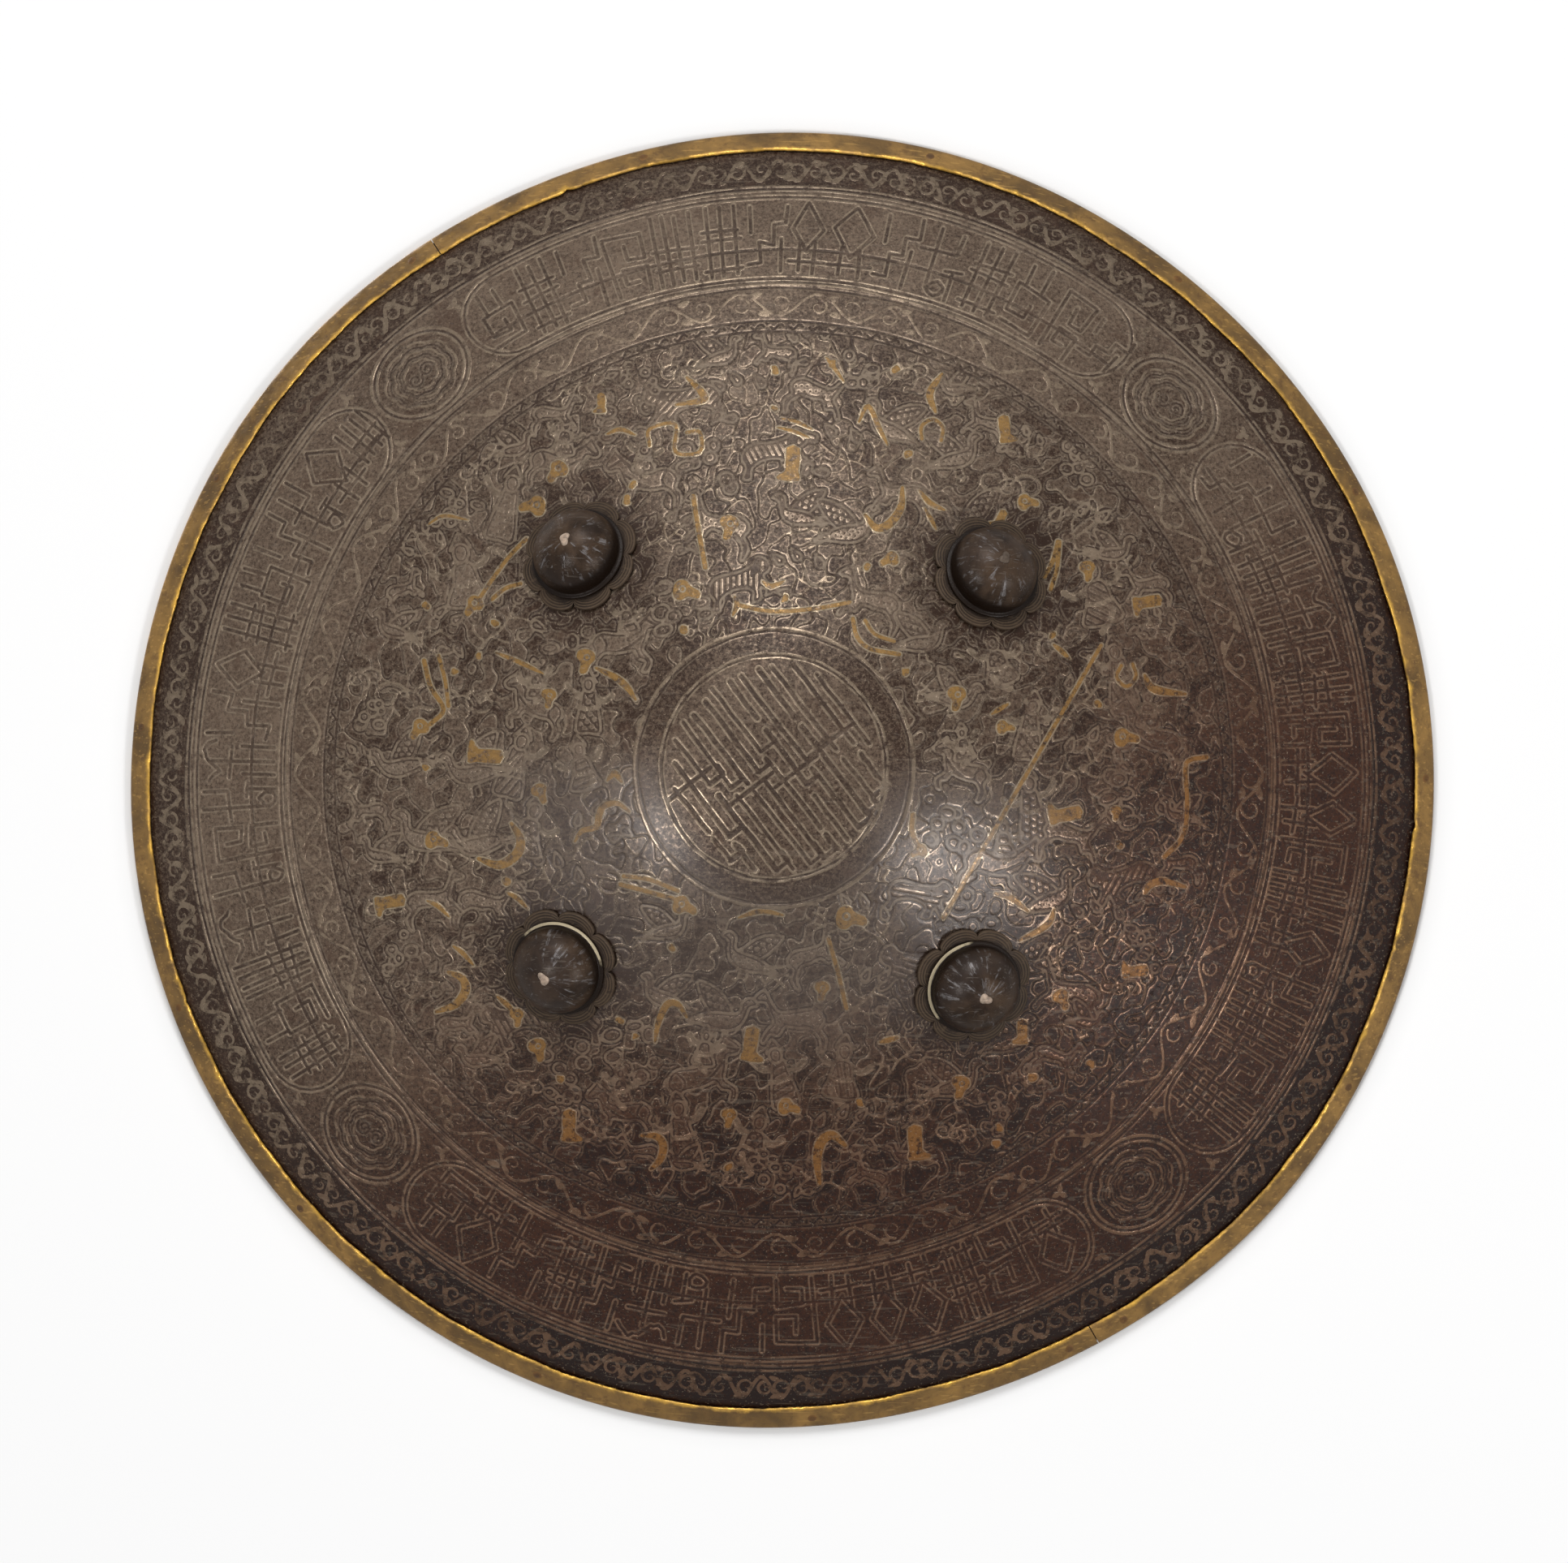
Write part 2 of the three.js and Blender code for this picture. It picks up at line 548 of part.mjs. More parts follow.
function piece(name, geometry, material) {
  const mesh = new THREE.Mesh(geometry, material);
  mesh.name = name;
  return mesh;
}

const shield = new THREE.Group();
const holesForRivets = rivetHoles();
shield.add(piece("shield_plate", geometryOf(platePiece(holesForRivets)), steel));

bindingHalves(holesForRivets).forEach((half, i) => {
  shield.add(piece(["rim_binding_right", "rim_binding_left"][i], geometryOf(half), brass));
});

RIVET_CLOCK_DEG.forEach((clock, i) => {
  const rivet = piece(`rim_rivet_${String(i + 1).padStart(2, "0")}`, rivetPiece(), rivetIron);
  rivet.applyMatrix4(rivetFrame(clock));
  shield.add(rivet);
});

BOSS_NAMES.forEach((place, i) => {
  const azimuth = bossAzimuths[i];
  shield.add(piece(`rosette_${place}`, geometryOf(rosettePiece(azimuth)), rosetteIron));
  shield.add(piece(`boss_${place}`, geometryOf(bossPiece(azimuth)), bossIron));
  shield.add(piece(`stud_${place}`, geometryOf(studPiece(azimuth)), rosetteIron));
  shield.add(piece(`washer_${place}`, geometryOf(washerPiece(azimuth)), rosetteIron));
  const ring = piece(`ring_${place}`, ringGeometry(), bossIron);
  const { x, y } = eyeCentre(azimuth);
  ring.position.set(x, y, swingHeight);
  shield.add(ring);
});

["right", "left"].forEach((side, i) => {
  const grip = piece(`grip_${side}`, geometryOf(gripPiece()), leather);
  grip.position.x = i === 0 ? eye.x : -eye.x;
  shield.add(grip);
});

shield.add(piece("lining", geometryOf(liningPiece()), liningCloth));
shield.add(piece("knuckle_cushion", geometryOf(cushionPiece()), cushionVelvet));

export default shield;
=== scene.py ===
# %% [markdown]
# # A round steel shield, dressed in Blender
# The shield lies on its rim with the convex face up. The solids of the frame give every place and size, and this
# lesson gives each piece its real surface: an etched and inlaid steel plate, a hammered brass rim, four bosses on
# lobed rosettes, and behind them rings, grips, a quilted lining and a knuckle cushion. Lengths below are written in
# millimetres and turned into metres when a mesh is made.

# %% Load the frame
import math

import bmesh
import bpy
import numpy as np
from mathutils import Matrix, Vector
from mathutils.bvhtree import BVHTree


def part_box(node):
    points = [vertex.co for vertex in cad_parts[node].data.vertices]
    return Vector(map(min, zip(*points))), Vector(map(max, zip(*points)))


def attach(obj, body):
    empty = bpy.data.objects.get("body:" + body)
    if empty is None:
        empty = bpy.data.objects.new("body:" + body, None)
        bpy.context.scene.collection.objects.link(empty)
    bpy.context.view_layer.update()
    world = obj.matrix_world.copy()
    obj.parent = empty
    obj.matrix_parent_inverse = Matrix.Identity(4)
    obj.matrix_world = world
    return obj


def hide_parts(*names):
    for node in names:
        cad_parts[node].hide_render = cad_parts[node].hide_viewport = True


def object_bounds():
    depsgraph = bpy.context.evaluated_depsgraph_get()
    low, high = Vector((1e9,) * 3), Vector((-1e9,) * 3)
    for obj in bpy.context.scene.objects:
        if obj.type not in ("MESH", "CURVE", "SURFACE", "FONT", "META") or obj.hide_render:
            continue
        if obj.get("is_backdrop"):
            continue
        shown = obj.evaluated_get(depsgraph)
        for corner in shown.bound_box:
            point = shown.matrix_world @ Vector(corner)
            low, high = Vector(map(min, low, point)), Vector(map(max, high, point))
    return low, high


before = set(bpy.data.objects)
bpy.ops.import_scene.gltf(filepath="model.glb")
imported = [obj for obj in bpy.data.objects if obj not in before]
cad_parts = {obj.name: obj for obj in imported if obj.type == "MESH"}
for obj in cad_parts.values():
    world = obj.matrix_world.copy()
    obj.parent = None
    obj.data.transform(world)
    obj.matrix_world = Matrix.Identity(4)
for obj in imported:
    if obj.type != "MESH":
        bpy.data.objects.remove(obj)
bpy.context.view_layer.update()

MM = 0.001
X, Y, Z = np.eye(3)
chance = np.random.default_rng(1847)

# %% [markdown]
# ## The bow of the plate
# A smith sinks the plate over a stake, so its section is a smooth curve: a round crown, a flank that is nearly
# straight, and an edge that turns down more. Three arcs in line describe that well. In each arc the sine of the
# slope grows evenly with the radius in plan, so slope, height and arc length all have short formulas that numpy can
# work out for a whole array of radii at once.

# %% The bow as formulas
RIM_RADIUS, NOSE, PLATE = 235, 2.0, 1.4
EDGE_SLOPE = math.radians(36)
EDGE_RADIUS = RIM_RADIUS - NOSE + PLATE / 2 * math.sin(EDGE_SLOPE)
BOSS_RADIUS = 100.0
BOSSES = {"upper_right": 45.0, "upper_left": 135.0, "lower_left": 225.0, "lower_right": 315.0}
ARC_RADII = np.array([0, 65, 162, EDGE_RADIUS])
ARC_SLOPES = np.radians([0, 22, 25, 36])
ARC_BENDS = np.diff(ARC_RADII) / np.diff(np.sin(ARC_SLOPES))
ARC_DROPS = np.concatenate([[0], np.cumsum(ARC_BENDS * -np.diff(np.cos(ARC_SLOPES)))])
ARC_RUNS = np.concatenate([[0], np.cumsum(ARC_BENDS * np.diff(ARC_SLOPES))])
CROWN_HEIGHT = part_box("shield_plate")[1][2] / MM
# Waves of the edge as (size, count round the shield, start).
WOBBLES = [(1.04, 2, 1.14), (0.73, 3, 2.59), (0.41, 4, 2.59), (0.39, 6, -0.87)]


def arc_of(radius):
    """Which of the three arcs a radius lies in: 0, 1 or 2."""
    return np.clip(np.searchsorted(ARC_RADII, radius, side="right") - 1, 0, 2)


def slope_at(radius):
    """Slope of the bow in radians: arcsin(first sine + (radius - first radius) / bend radius) of its arc."""
    arc = arc_of(radius)
    return np.arcsin(np.clip(np.sin(ARC_SLOPES[arc]) + (radius - ARC_RADII[arc]) / ARC_BENDS[arc], -1, 1))


def height_at(radius):
    """Height of the outer face: crown - drop before the arc - bend * (cos(first slope) - cos(slope))."""
    arc = arc_of(radius)
    return CROWN_HEIGHT - ARC_DROPS[arc] - ARC_BENDS[arc] * (np.cos(ARC_SLOPES[arc]) - np.cos(slope_at(radius)))


def run_at(radius):
    """Length of the bow from the crown: the runs of the arcs before + bend * (slope - first slope)."""
    arc = arc_of(radius)
    return ARC_RUNS[arc] + ARC_BENDS[arc] * (slope_at(radius) - ARC_SLOPES[arc])


def edge_wobble(azimuth):
    """How far the hand-beaten edge lies inside a true circle: a few slow waves w, never outwards, because
    -ln(1 + e ^ (-4w)) / 4 turns softly from w to nothing."""
    waves = sum(size * np.sin(count * azimuth + start) for size, count, start in WOBBLES) - 0.8
    return -np.logaddexp(0, -4 * waves) / 4


def on_bow(radius, azimuth, offset):
    """A point at a distance along the normal from the outer face, as an array (..., 3) in millimetres. The hand
    beating draws it in by the edge's wobble times (radius / edge radius) ^ 4."""
    slope = slope_at(radius)
    out = radius + offset * np.sin(slope) + edge_wobble(azimuth) * (radius / EDGE_RADIUS) ** 4
    up = height_at(radius) + offset * np.cos(slope)
    return np.stack(np.broadcast_arrays(out * np.cos(azimuth), out * np.sin(azimuth), up), axis=-1)


def crown_point(offset=0.0):
    """The middle of the bow at an offset from its face."""
    return on_bow(np.zeros(1), np.zeros(1), offset)[0]


print("crown height", round(CROWN_HEIGHT, 2), "drop", round(ARC_DROPS[-1], 2), "run", round(ARC_RUNS[-1], 2))

# %% [markdown]
# ## The camera
# The photograph was taken from about a metre and a half, nearly straight above. The crown stands a little up and
# left of the rim's centre, so the camera stood a little towards the lower right, and the whole shield is turned
# clockwise by 2.6 degrees. The same camera also tells where a spot of the photograph lies on the bow.

# %% Camera
PHOTO_WIDE, PHOTO_HIGH = 1932, 1926
LENS, SENSOR = 100, 36
PHOTO_TURN_DEG = 2.6
PHOTO_TURN = math.radians(PHOTO_TURN_DEG)
PIXELS_PER_SLOPE = LENS / SENSOR * PHOTO_WIDE
photo_up = Vector((-math.sin(PHOTO_TURN), math.cos(PHOTO_TURN), 0))
photo_right = Vector((math.cos(PHOTO_TURN), math.sin(PHOTO_TURN), 0))
STAND_RIGHT, STAND_DOWN, STAND_HIGH = 35, 62, 1570
AIM_RIGHT, AIM_DOWN = 1.4, 1.1
stand = photo_right * STAND_RIGHT - photo_up * STAND_DOWN + Vector((0, 0, STAND_HIGH))
aim = photo_right * AIM_RIGHT - photo_up * AIM_DOWN
ahead = (aim - stand).normalized()
camera_right = ahead.cross(photo_up).normalized()
camera_up = camera_right.cross(ahead)


def put_in_scene(name, data):
    """An object with its data, linked into the scene."""
    thing = bpy.data.objects.new(name, data)
    bpy.context.scene.collection.objects.link(thing)
    return thing


camera = put_in_scene("camera", bpy.data.cameras.new("camera"))
camera.data.lens, camera.data.sensor_width = LENS, SENSOR
camera.data.clip_start, camera.data.clip_end = 0.01, 20
camera.matrix_world = Matrix.Translation(stand * MM) @ Matrix(
    (camera_right, camera_up, -ahead)).transposed().to_4x4()
bpy.context.scene.camera = camera


def spot_on_bow(pixels):
    """Where sight lines through pixels meet the bow, in plan. Each is cut with a level plane, whose height is then
    read off the bow at that spot and cut again, until it settles."""
    pixels = np.asarray(pixels, float)
    across = (pixels[..., 0] - PHOTO_WIDE / 2) / PIXELS_PER_SLOPE
    upward = (PHOTO_HIGH / 2 - pixels[..., 1]) / PIXELS_PER_SLOPE
    line = np.array(ahead) + across[..., None] * np.array(camera_right) + upward[..., None] * np.array(camera_up)
    level = np.full(pixels.shape[:-1], CROWN_HEIGHT)
    for _ in range(6):
        spot = np.array(stand)[:2] + line[..., :2] * ((level - stand.z) / line[..., 2])[..., None]
        level = height_at(np.minimum(np.hypot(spot[..., 0], spot[..., 1]), EDGE_RADIUS))
    return spot


print("medallion centre", spot_on_bow([953, 945]).round(1), "boss", spot_on_bow([1213.9, 704.1]).round(1))

# %% [markdown]
# ## Meshes from whole arrays
# Nearly every piece here is a grid of points: rows along a section and columns round an axis or along a path. One
# helper joins neighbours with quads, closes the ends and writes the mesh. It also measures the signed volume, and
# turns all faces if that is negative, so that they always point outwards.

# %% Grid to mesh
def polygon_mesh(name, places, quads, triangles, sharp):
    """A mesh from places in millimetres, quads and triangles, with its faces turned outwards by the sign of its
    volume, the sum of (a x b) . c / 6 over the triangles."""
    corners = np.concatenate([quads[:, [0, 1, 2]], quads[:, [0, 2, 3]], triangles])
    a, b, c = (places[corners[:, k]] for k in range(3))
    if np.einsum("ij,ij->", np.cross(a, b), c) < 0:
        quads, triangles = quads[:, ::-1], triangles[:, ::-1]
    mesh = bpy.data.meshes.new(name)
    mesh.vertices.add(len(places))
    move_points(mesh, places)
    mesh.loops.add(quads.size + triangles.size)
    mesh.loops.foreach_set("vertex_index", np.concatenate([quads.ravel(), triangles.ravel()]).astype(np.int32))
    mesh.polygons.add(len(quads) + len(triangles))
    starts = np.concatenate([np.arange(len(quads)) * 4, quads.size + np.arange(len(triangles)) * 3])
    mesh.polygons.foreach_set("loop_start", starts.astype(np.int32))
    mesh.polygons.foreach_set("use_smooth", np.ones(len(starts), bool))
    mesh.update(calc_edges=True)
    mesh.set_sharp_from_angle(angle=math.radians(sharp))
    return mesh


def move_points(mesh, places):
    """Puts the points of a mesh at places in millimetres."""
    mesh.vertices.foreach_set("co", (places * MM).astype(np.float32).ravel())


def grid_mesh(name, points, wrap_rows=False, wrap_columns=True, first_pole=None, last_pole=None, sharp=40):
    """A mesh from points (rows, columns, 3) in millimetres. Quad (i, j) joins rows i, i+1 and columns j, j+1. A pole
    closes the first or last row with a fan."""
    rows, columns = points.shape[:2]
    number = np.arange(rows * columns).reshape(rows, columns)
    down = np.vstack([number, number[:1]]) if wrap_rows else number
    both = np.hstack([down, down[:, :1]]) if wrap_columns else down
    quads = np.stack([both[:-1, :-1], both[:-1, 1:], both[1:, 1:], both[1:, :-1]], axis=-1).reshape(-1, 4)
    places = [points.reshape(-1, 3)]
    fans = [np.zeros((0, 3), int)]
    for pole, row, order in ((first_pole, 0, 1), (last_pole, rows - 1, -1)):
        if pole is not None:
            centre = sum(len(p) for p in places)
            places.append(np.asarray(pole, float).reshape(1, 3))
            ring = both[row]
            fan = np.stack([np.full(len(ring) - 1, centre), ring[1:], ring[:-1]], axis=-1)
            fans.append(fan[:, ::order])
    return polygon_mesh(name, np.concatenate(places), quads, np.concatenate(fans), sharp)


def joined(name, meshes):
    """Several closed forms in one mesh."""
    shared = bmesh.new()
    for mesh in meshes:
        shared.from_mesh(mesh)
        bpy.data.meshes.remove(mesh)
    whole = bpy.data.meshes.new(name)
    shared.to_mesh(whole)
    shared.free()
    return whole


def set_values(mesh, name, values):
    """Stores one number or one colour for each vertex under a name that a material can read."""
    values = np.asarray(values, np.float32)
    colour = values.ndim == 2
    layer = mesh.attributes.new(name, "FLOAT_COLOR" if colour else "FLOAT", "POINT")
    layer.data.foreach_set("color" if colour else "value", values.ravel())


def piece(mesh, finish, body, slot, *nodes):
    """Puts a mesh into the scene as a piece that rides on a body and stands for its CAD nodes."""
    thing = put_in_scene(mesh.name, mesh)
    mesh.materials.append(finish.material)
    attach(thing, body)
    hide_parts(*nodes)
    return thing


def full_turn(count):
    """Angles of a full turn in even steps."""
    return np.arange(count) * 2 * math.pi / count


def rounded(turn, wide, high):
    """Points (wide cos t, high sin t)."""
    return np.stack([wide * np.cos(turn), high * np.sin(turn)], axis=-1)


def looped(points):
    """The same points, and the first once more, so that a line closes."""
    return np.vstack([points, points[:1]])


def unit(vectors):
    """The same directions with a length of one: vector / root of its sum of squares."""
    return vectors / np.linalg.norm(vectors, axis=-1, keepdims=True)


def tube_points(path, radii, sides, closed=False, up=X):
    """Rings round a path: point + radius * (cos t * side + sin t * lift), side being across path and up."""
    path = np.asarray(path, float)
    along = np.roll(path, -1, axis=0) - np.roll(path, 1, axis=0) if closed else np.gradient(path, axis=0)
    along = unit(along)
    side = unit(np.cross(along, np.asarray(up, float)))
    lift = np.cross(side, along)
    turn = full_turn(sides)[None, :, None]
    ring = np.cos(turn) * side[:, None] + np.sin(turn) * lift[:, None]
    return path[:, None] + np.broadcast_to(radii, len(path))[:, None, None] * ring


# %% [markdown]
# ## Helpers for materials
# A material is a small machine of nodes. An output of a node is wrapped here, so that a sum or a product of two
# outputs adds the Math node for it, and a mask reads like a formula. A finish keeps the colour made so far, and lays
# the next one over it where a mask says so. Colours are written as they look on a screen, 0 to 255, and turned into
# the linear numbers that the renderer works with.

# %% Node helpers
class Output:
    """What comes out of a node: a number or a colour for every spot."""

    def __init__(self, socket):
        self.socket, self.tree = socket, socket.id_data

    def math(self, way, *others, clamp=False):
        """A Math node on this output, and on others if its way needs them."""
        return reckon(self.tree, way, self, *others, clamp=clamp)

    def __add__(self, other):
        return self.math("ADD", other)

    def __sub__(self, other):
        return self.math("SUBTRACT", other)

    def __rsub__(self, other):
        return reckon(self.tree, "SUBTRACT", other, self)

    def __mul__(self, other):
        return self.math("MULTIPLY", other)

    def __abs__(self):
        return self.math("ABSOLUTE")

    def between(self, low, high, to_low=0.0, to_high=1.0, soft=True):
        """Stretches the part from low to high over a new range, with soft or straight ends."""
        return give(self.tree, "ShaderNodeMapRange", "Result", {
            "Value": self, "From Min": low, "From Max": high, "To Min": to_low, "To Max": to_high},
            interpolation_type="SMOOTHSTEP" if soft else "LINEAR")

    def noise(self, scale, detail, rough=0.5, bend=0.0):
        """Noise at this place."""
        return give(self.tree, "ShaderNodeTexNoise", "Fac", {
            "Vector": self, "Scale": scale, "Detail": detail, "Roughness": rough, "Distortion": bend})

    def ramp(self, at_none, at_full):
        """Goes straight from one number to another while this output goes from 0 to 1."""
        return self.between(0.0, 1.0, at_none, at_full, soft=False)

    def split(self):
        """The X, Y and Z of this place."""
        return named(add(self.tree, "ShaderNodeSeparateXYZ", {"Vector": self}))

    def vector(self, way, *others, key="Value"):
        """A Vector Math node on this place."""
        return give(self.tree, "ShaderNodeVectorMath", key, dict(enumerate((self, *others))), operation=way)


def set_inputs(node, values):
    """Sets the inputs of a node, each to a plain value or to the output of another node."""
    for key, value in values.items():
        if isinstance(value, Output):
            value.tree.links.new(value.socket, node.inputs[key])
        else:
            node.inputs[key].default_value = value


def spaced(values):
    """Input names as Blender has them: {"Base_Color": ...} becomes {"Base Color": ...}."""
    return {key.replace("_", " "): value for key, value in values.items()}


def add(tree, kind, inputs=None, **options):
    """A new node with its options and inputs."""
    node = tree.nodes.new(kind)
    for key, value in options.items():
        setattr(node, key, value)
    set_inputs(node, inputs or {})
    return node


def give(tree, kind, key, inputs=None, **options):
    """One output of a new node."""
    return Output(add(tree, kind, inputs, **options).outputs[key])


def named(node):
    """All outputs of a node by name."""
    return {socket.name: Output(socket) for socket in node.outputs}


def reckon(tree, way, *values, clamp=False):
    """A Math node on numbers and outputs, in that order."""
    return give(tree, "ShaderNodeMath", 0, dict(enumerate(values)), operation=way, use_clamp=clamp)


def most(*values):
    """The largest of several outputs."""
    largest = values[0]
    for value in values[1:]:
        largest = largest.math("MAXIMUM", value)
    return largest


def off_centre(value):
    """How far a repeating number lies from the middle of its repeat, 0 to 0.5."""
    return abs(value.math("FRACT") - 0.5)


def colour(red, green, blue):
    """Screen colour to linear: (c / 255) ^ 2.2 near enough, by the exact standard curve."""
    values = np.array([red, green, blue]) / 255
    linear = np.where(values <= 0.04045, values / 12.92, ((values + 0.055) / 1.055) ** 2.4)
    return (*map(float, linear), 1.0)


def blend(mask, first, second, way="MIX"):
    """Two colours mixed: first * (1 - mask) + second * mask, or first * second in that measure for MULTIPLY."""
    return give(mask.tree, "ShaderNodeMix", 2, {0: mask, 6: first, 7: second}, data_type="RGBA", blend_type=way)


class Finish:
    """A material in the making: its tree, its Principled shader, the place on the piece, and its colour so far."""

    def __init__(self, name):
        self.material = bpy.data.materials.new(name)
        self.material.use_nodes = True
        self.tree = self.material.node_tree
        self.shader = self.tree.nodes["Principled BSDF"]
        self.place = give(self.tree, "ShaderNodeTexCoord", "Object")
        self.noise = self.place.noise

    def stored(self, name):
        """What a mesh keeps for each vertex under a name."""
        return named(add(self.tree, "ShaderNodeAttribute", attribute_name=name))

    def use(self, group, **inputs):
        """A node group with some of its inputs set: its outputs by name."""
        return named(add(self.tree, "ShaderNodeGroup", spaced(inputs), node_tree=group))

    def start(self, mask, first, second):
        """The first two colours, mixed by a mask."""
        self.colour = blend(mask, colour(*first), colour(*second))

    def lay(self, mask, *tint, way="MIX"):
        """Lays a colour over the colour so far. The tint is three numbers or one output."""
        self.colour = blend(mask, self.colour, tint[0] if len(tint) == 1 else colour(*tint), way)

    def bump(self, height, distance, strength):
        """Tilts the light on the surface as if it had a height, at most a distance in metres."""
        normal = give(self.tree, "ShaderNodeBump", "Normal", {
            "Height": height, "Distance": distance, "Strength": strength})
        set_inputs(self.shader, {"Normal": normal})

    def feed(self, **values):
        """Feeds the shader its colour and its other inputs, with an underscore for each space."""
        set_inputs(self.shader, {"Base Color": self.colour, **spaced(values)})


# %% [markdown]
# ## Old metal in two groups
# Every metal here shares two effects, so each is a node group. The first gives the fine grain of etched or forged
# metal, the wide blotches of patina, and thin scratches. The second finds the edges, where handling has rubbed the
# metal bright: a face that turns sharply has a high pointiness, and noise breaks up the line of wear.

# %% Group: old metal
def new_group(name, inputs, *outputs):
    """A node group with number inputs {name: value}: the group, what it is given, its place and its output node."""
    group = bpy.data.node_groups.new(name, "ShaderNodeTree")
    for key, value in inputs.items():
        group.interface.new_socket(key, in_out="INPUT", socket_type="NodeSocketFloat").default_value = value
    for key in outputs:
        group.interface.new_socket(key, in_out="OUTPUT", socket_type="NodeSocketFloat")
    given = named(group.nodes.new("NodeGroupInput"))
    return group, given, give(group, "ShaderNodeTexCoord", "Object"), group.nodes.new("NodeGroupOutput")


old_metal, given, place, result = new_group(
    "old metal", {"Grain Scale": 1500.0, "Blotch Scale": 60.0, "Scratch Scale": 40.0}, "Grain", "Blotch", "Scratches")
ways = []
for turn, seed in ((0.5, 0.0), (1.9, 3.0), (2.7, 7.0)):
    slanted = give(old_metal, "ShaderNodeMapping", 0, {
        "Vector": place, "Location": (seed, seed, 0), "Rotation": (0, 0, turn), "Scale": (0.06, 1.0, 1.0)})
    ways.append(slanted.noise(given["Scratch Scale"] * 30.0, 1.0, 0.4).between(0.67, 0.74))
set_inputs(result, {"Grain": place.noise(given["Grain Scale"], 2.0, 0.6), "Scratches": most(*ways),
                    "Blotch": place.noise(given["Blotch Scale"], 6.0, 0.62, 0.4)})

edge_wear, given, place, result = new_group(
    "edge wear", {"Width": 0.06, "Break Up": 0.5, "Break Scale": 180.0}, "Wear")
breaks = (place.noise(given["Break Scale"], 4.0, 0.6) - 0.5) * given["Break Up"]
lift = give(edge_wear, "ShaderNodeNewGeometry", "Pointiness") - 0.5 + breaks * 0.12
set_inputs(result, {"Wear": lift.math("DIVIDE", given["Width"], clamp=True)})
print("groups:", [g.name for g in bpy.data.node_groups])

# %% [markdown]
# ## The drawing on the plate
# On the real plate the ornament was cut with a graver, eaten a little deeper with acid, and some figures were laid
# with gold. A picture file would do for a render, but here the drawing is made of strokes. Four sheets of numbers
# cover the plate in plan, one for pale lines, one for dark cuts, one for gold and one for the tone of the ground. The
# first three don't hold black or white: they hold how deep each spot lies inside the nearest stroke. Such a depth
# stays sharp when it is read between grid points, so even a coarse grid gives a crisp line.

# %% Sheets and strokes
CELL, HALF_SHEET = 0.25, 236.0
CELLS = int(2 * HALF_SHEET / CELL)
PALE, DARK, GOLD, TONE = range(4)
GRAVER_SHAKE, SOFT_EDGE = 0.12, 0.6
art = np.full((4, CELLS, CELLS), -1.0, np.float32)
art[TONE] = 0.5


def cells(first=0, last=CELLS):
    """The middles of the cells in a row of a sheet, in millimetres."""
    return (np.arange(first, last) + 0.5) * CELL - HALF_SHEET


def window(low, high):
    """The spot of the sheets between two corners in millimetres, and the places of its cells."""
    first, last = (np.clip(((np.asarray(corner) + HALF_SHEET) / CELL).astype(int) + more, 0, CELLS)
                   for corner, more in ((low, 0), (high, 2)))
    spot = slice(first[1], last[1]), slice(first[0], last[0])
    return spot, cells(first[0], last[0])[None, :], cells(first[1], last[1])[:, None]


def round_window(radius):
    """The window that holds a circle round the crown, and how far its cells lie from the crown."""
    spot, x, y = window((-radius - 2, -radius - 2), (radius + 2, radius + 2))
    return spot, x, y, np.hypot(x, y)


def deepen(layer, spot, depth):
    """Lays depths on a sheet wherever they are greater than what is there."""
    part = art[layer][spot]
    np.maximum(part, depth, out=part)


def tint_ground(spot, tone, mask):
    """Moves the ground towards a tone by a mask from 0 to 1."""
    art[TONE][spot] += (tone - art[TONE][spot]) * mask


def nearest_on(x, y, a, b):
    """The nearest point of the line from a to b: how far along it lies, from 0 to 1, and its distance."""
    step = b - a
    part = np.clip(((x - a[0]) * step[0] + (y - a[1]) * step[1]) / max(step @ step, 1e-9), 0, 1)
    return part, np.hypot(x - a[0] - part * step[0], y - a[1] - part * step[1])


def stroke(layer, points, width, taper=None):
    """A stroke along points. Depth inside it = half the width there - distance from its middle line. A taper thins
    both ends, or the far end."""
    points = np.asarray(points, float)
    along = np.linspace(0, 1, len(points))
    shape = {None: np.ones(len(points)), "both": np.sin(math.pi * (0.07 + 0.86 * along)) ** 0.7,
             "end": 1 - 0.7 * along}[taper]
    half = width / 2 * shape
    for a, b, at_a, at_b in zip(points[:-1], points[1:], half[:-1], half[1:]):
        reach = max(at_a, at_b) + 1
        spot, x, y = window(np.minimum(a, b) - reach, np.maximum(a, b) + reach)
        part, away = nearest_on(x, y, a, b)
        deepen(layer, spot, at_a + (at_b - at_a) * part - away)


def lipped_cut(points, width, lips=1.4):
    """A dark cut between two pale lips: the lips are a wider pale stroke, and where the cut runs it goes through."""
    stroke(PALE, points, width + lips)
    stroke(DARK, points, width)


def cut_through(inner, outer):
    """Between two radii the dark cuts go through the pale lines."""
    spot, _, _, radius = round_window(outer)
    pale = art[PALE][spot]
    inside = (radius > inner) & (radius < outer)
    pale[inside] = np.minimum(pale, 0.1 - art[DARK][spot])[inside]


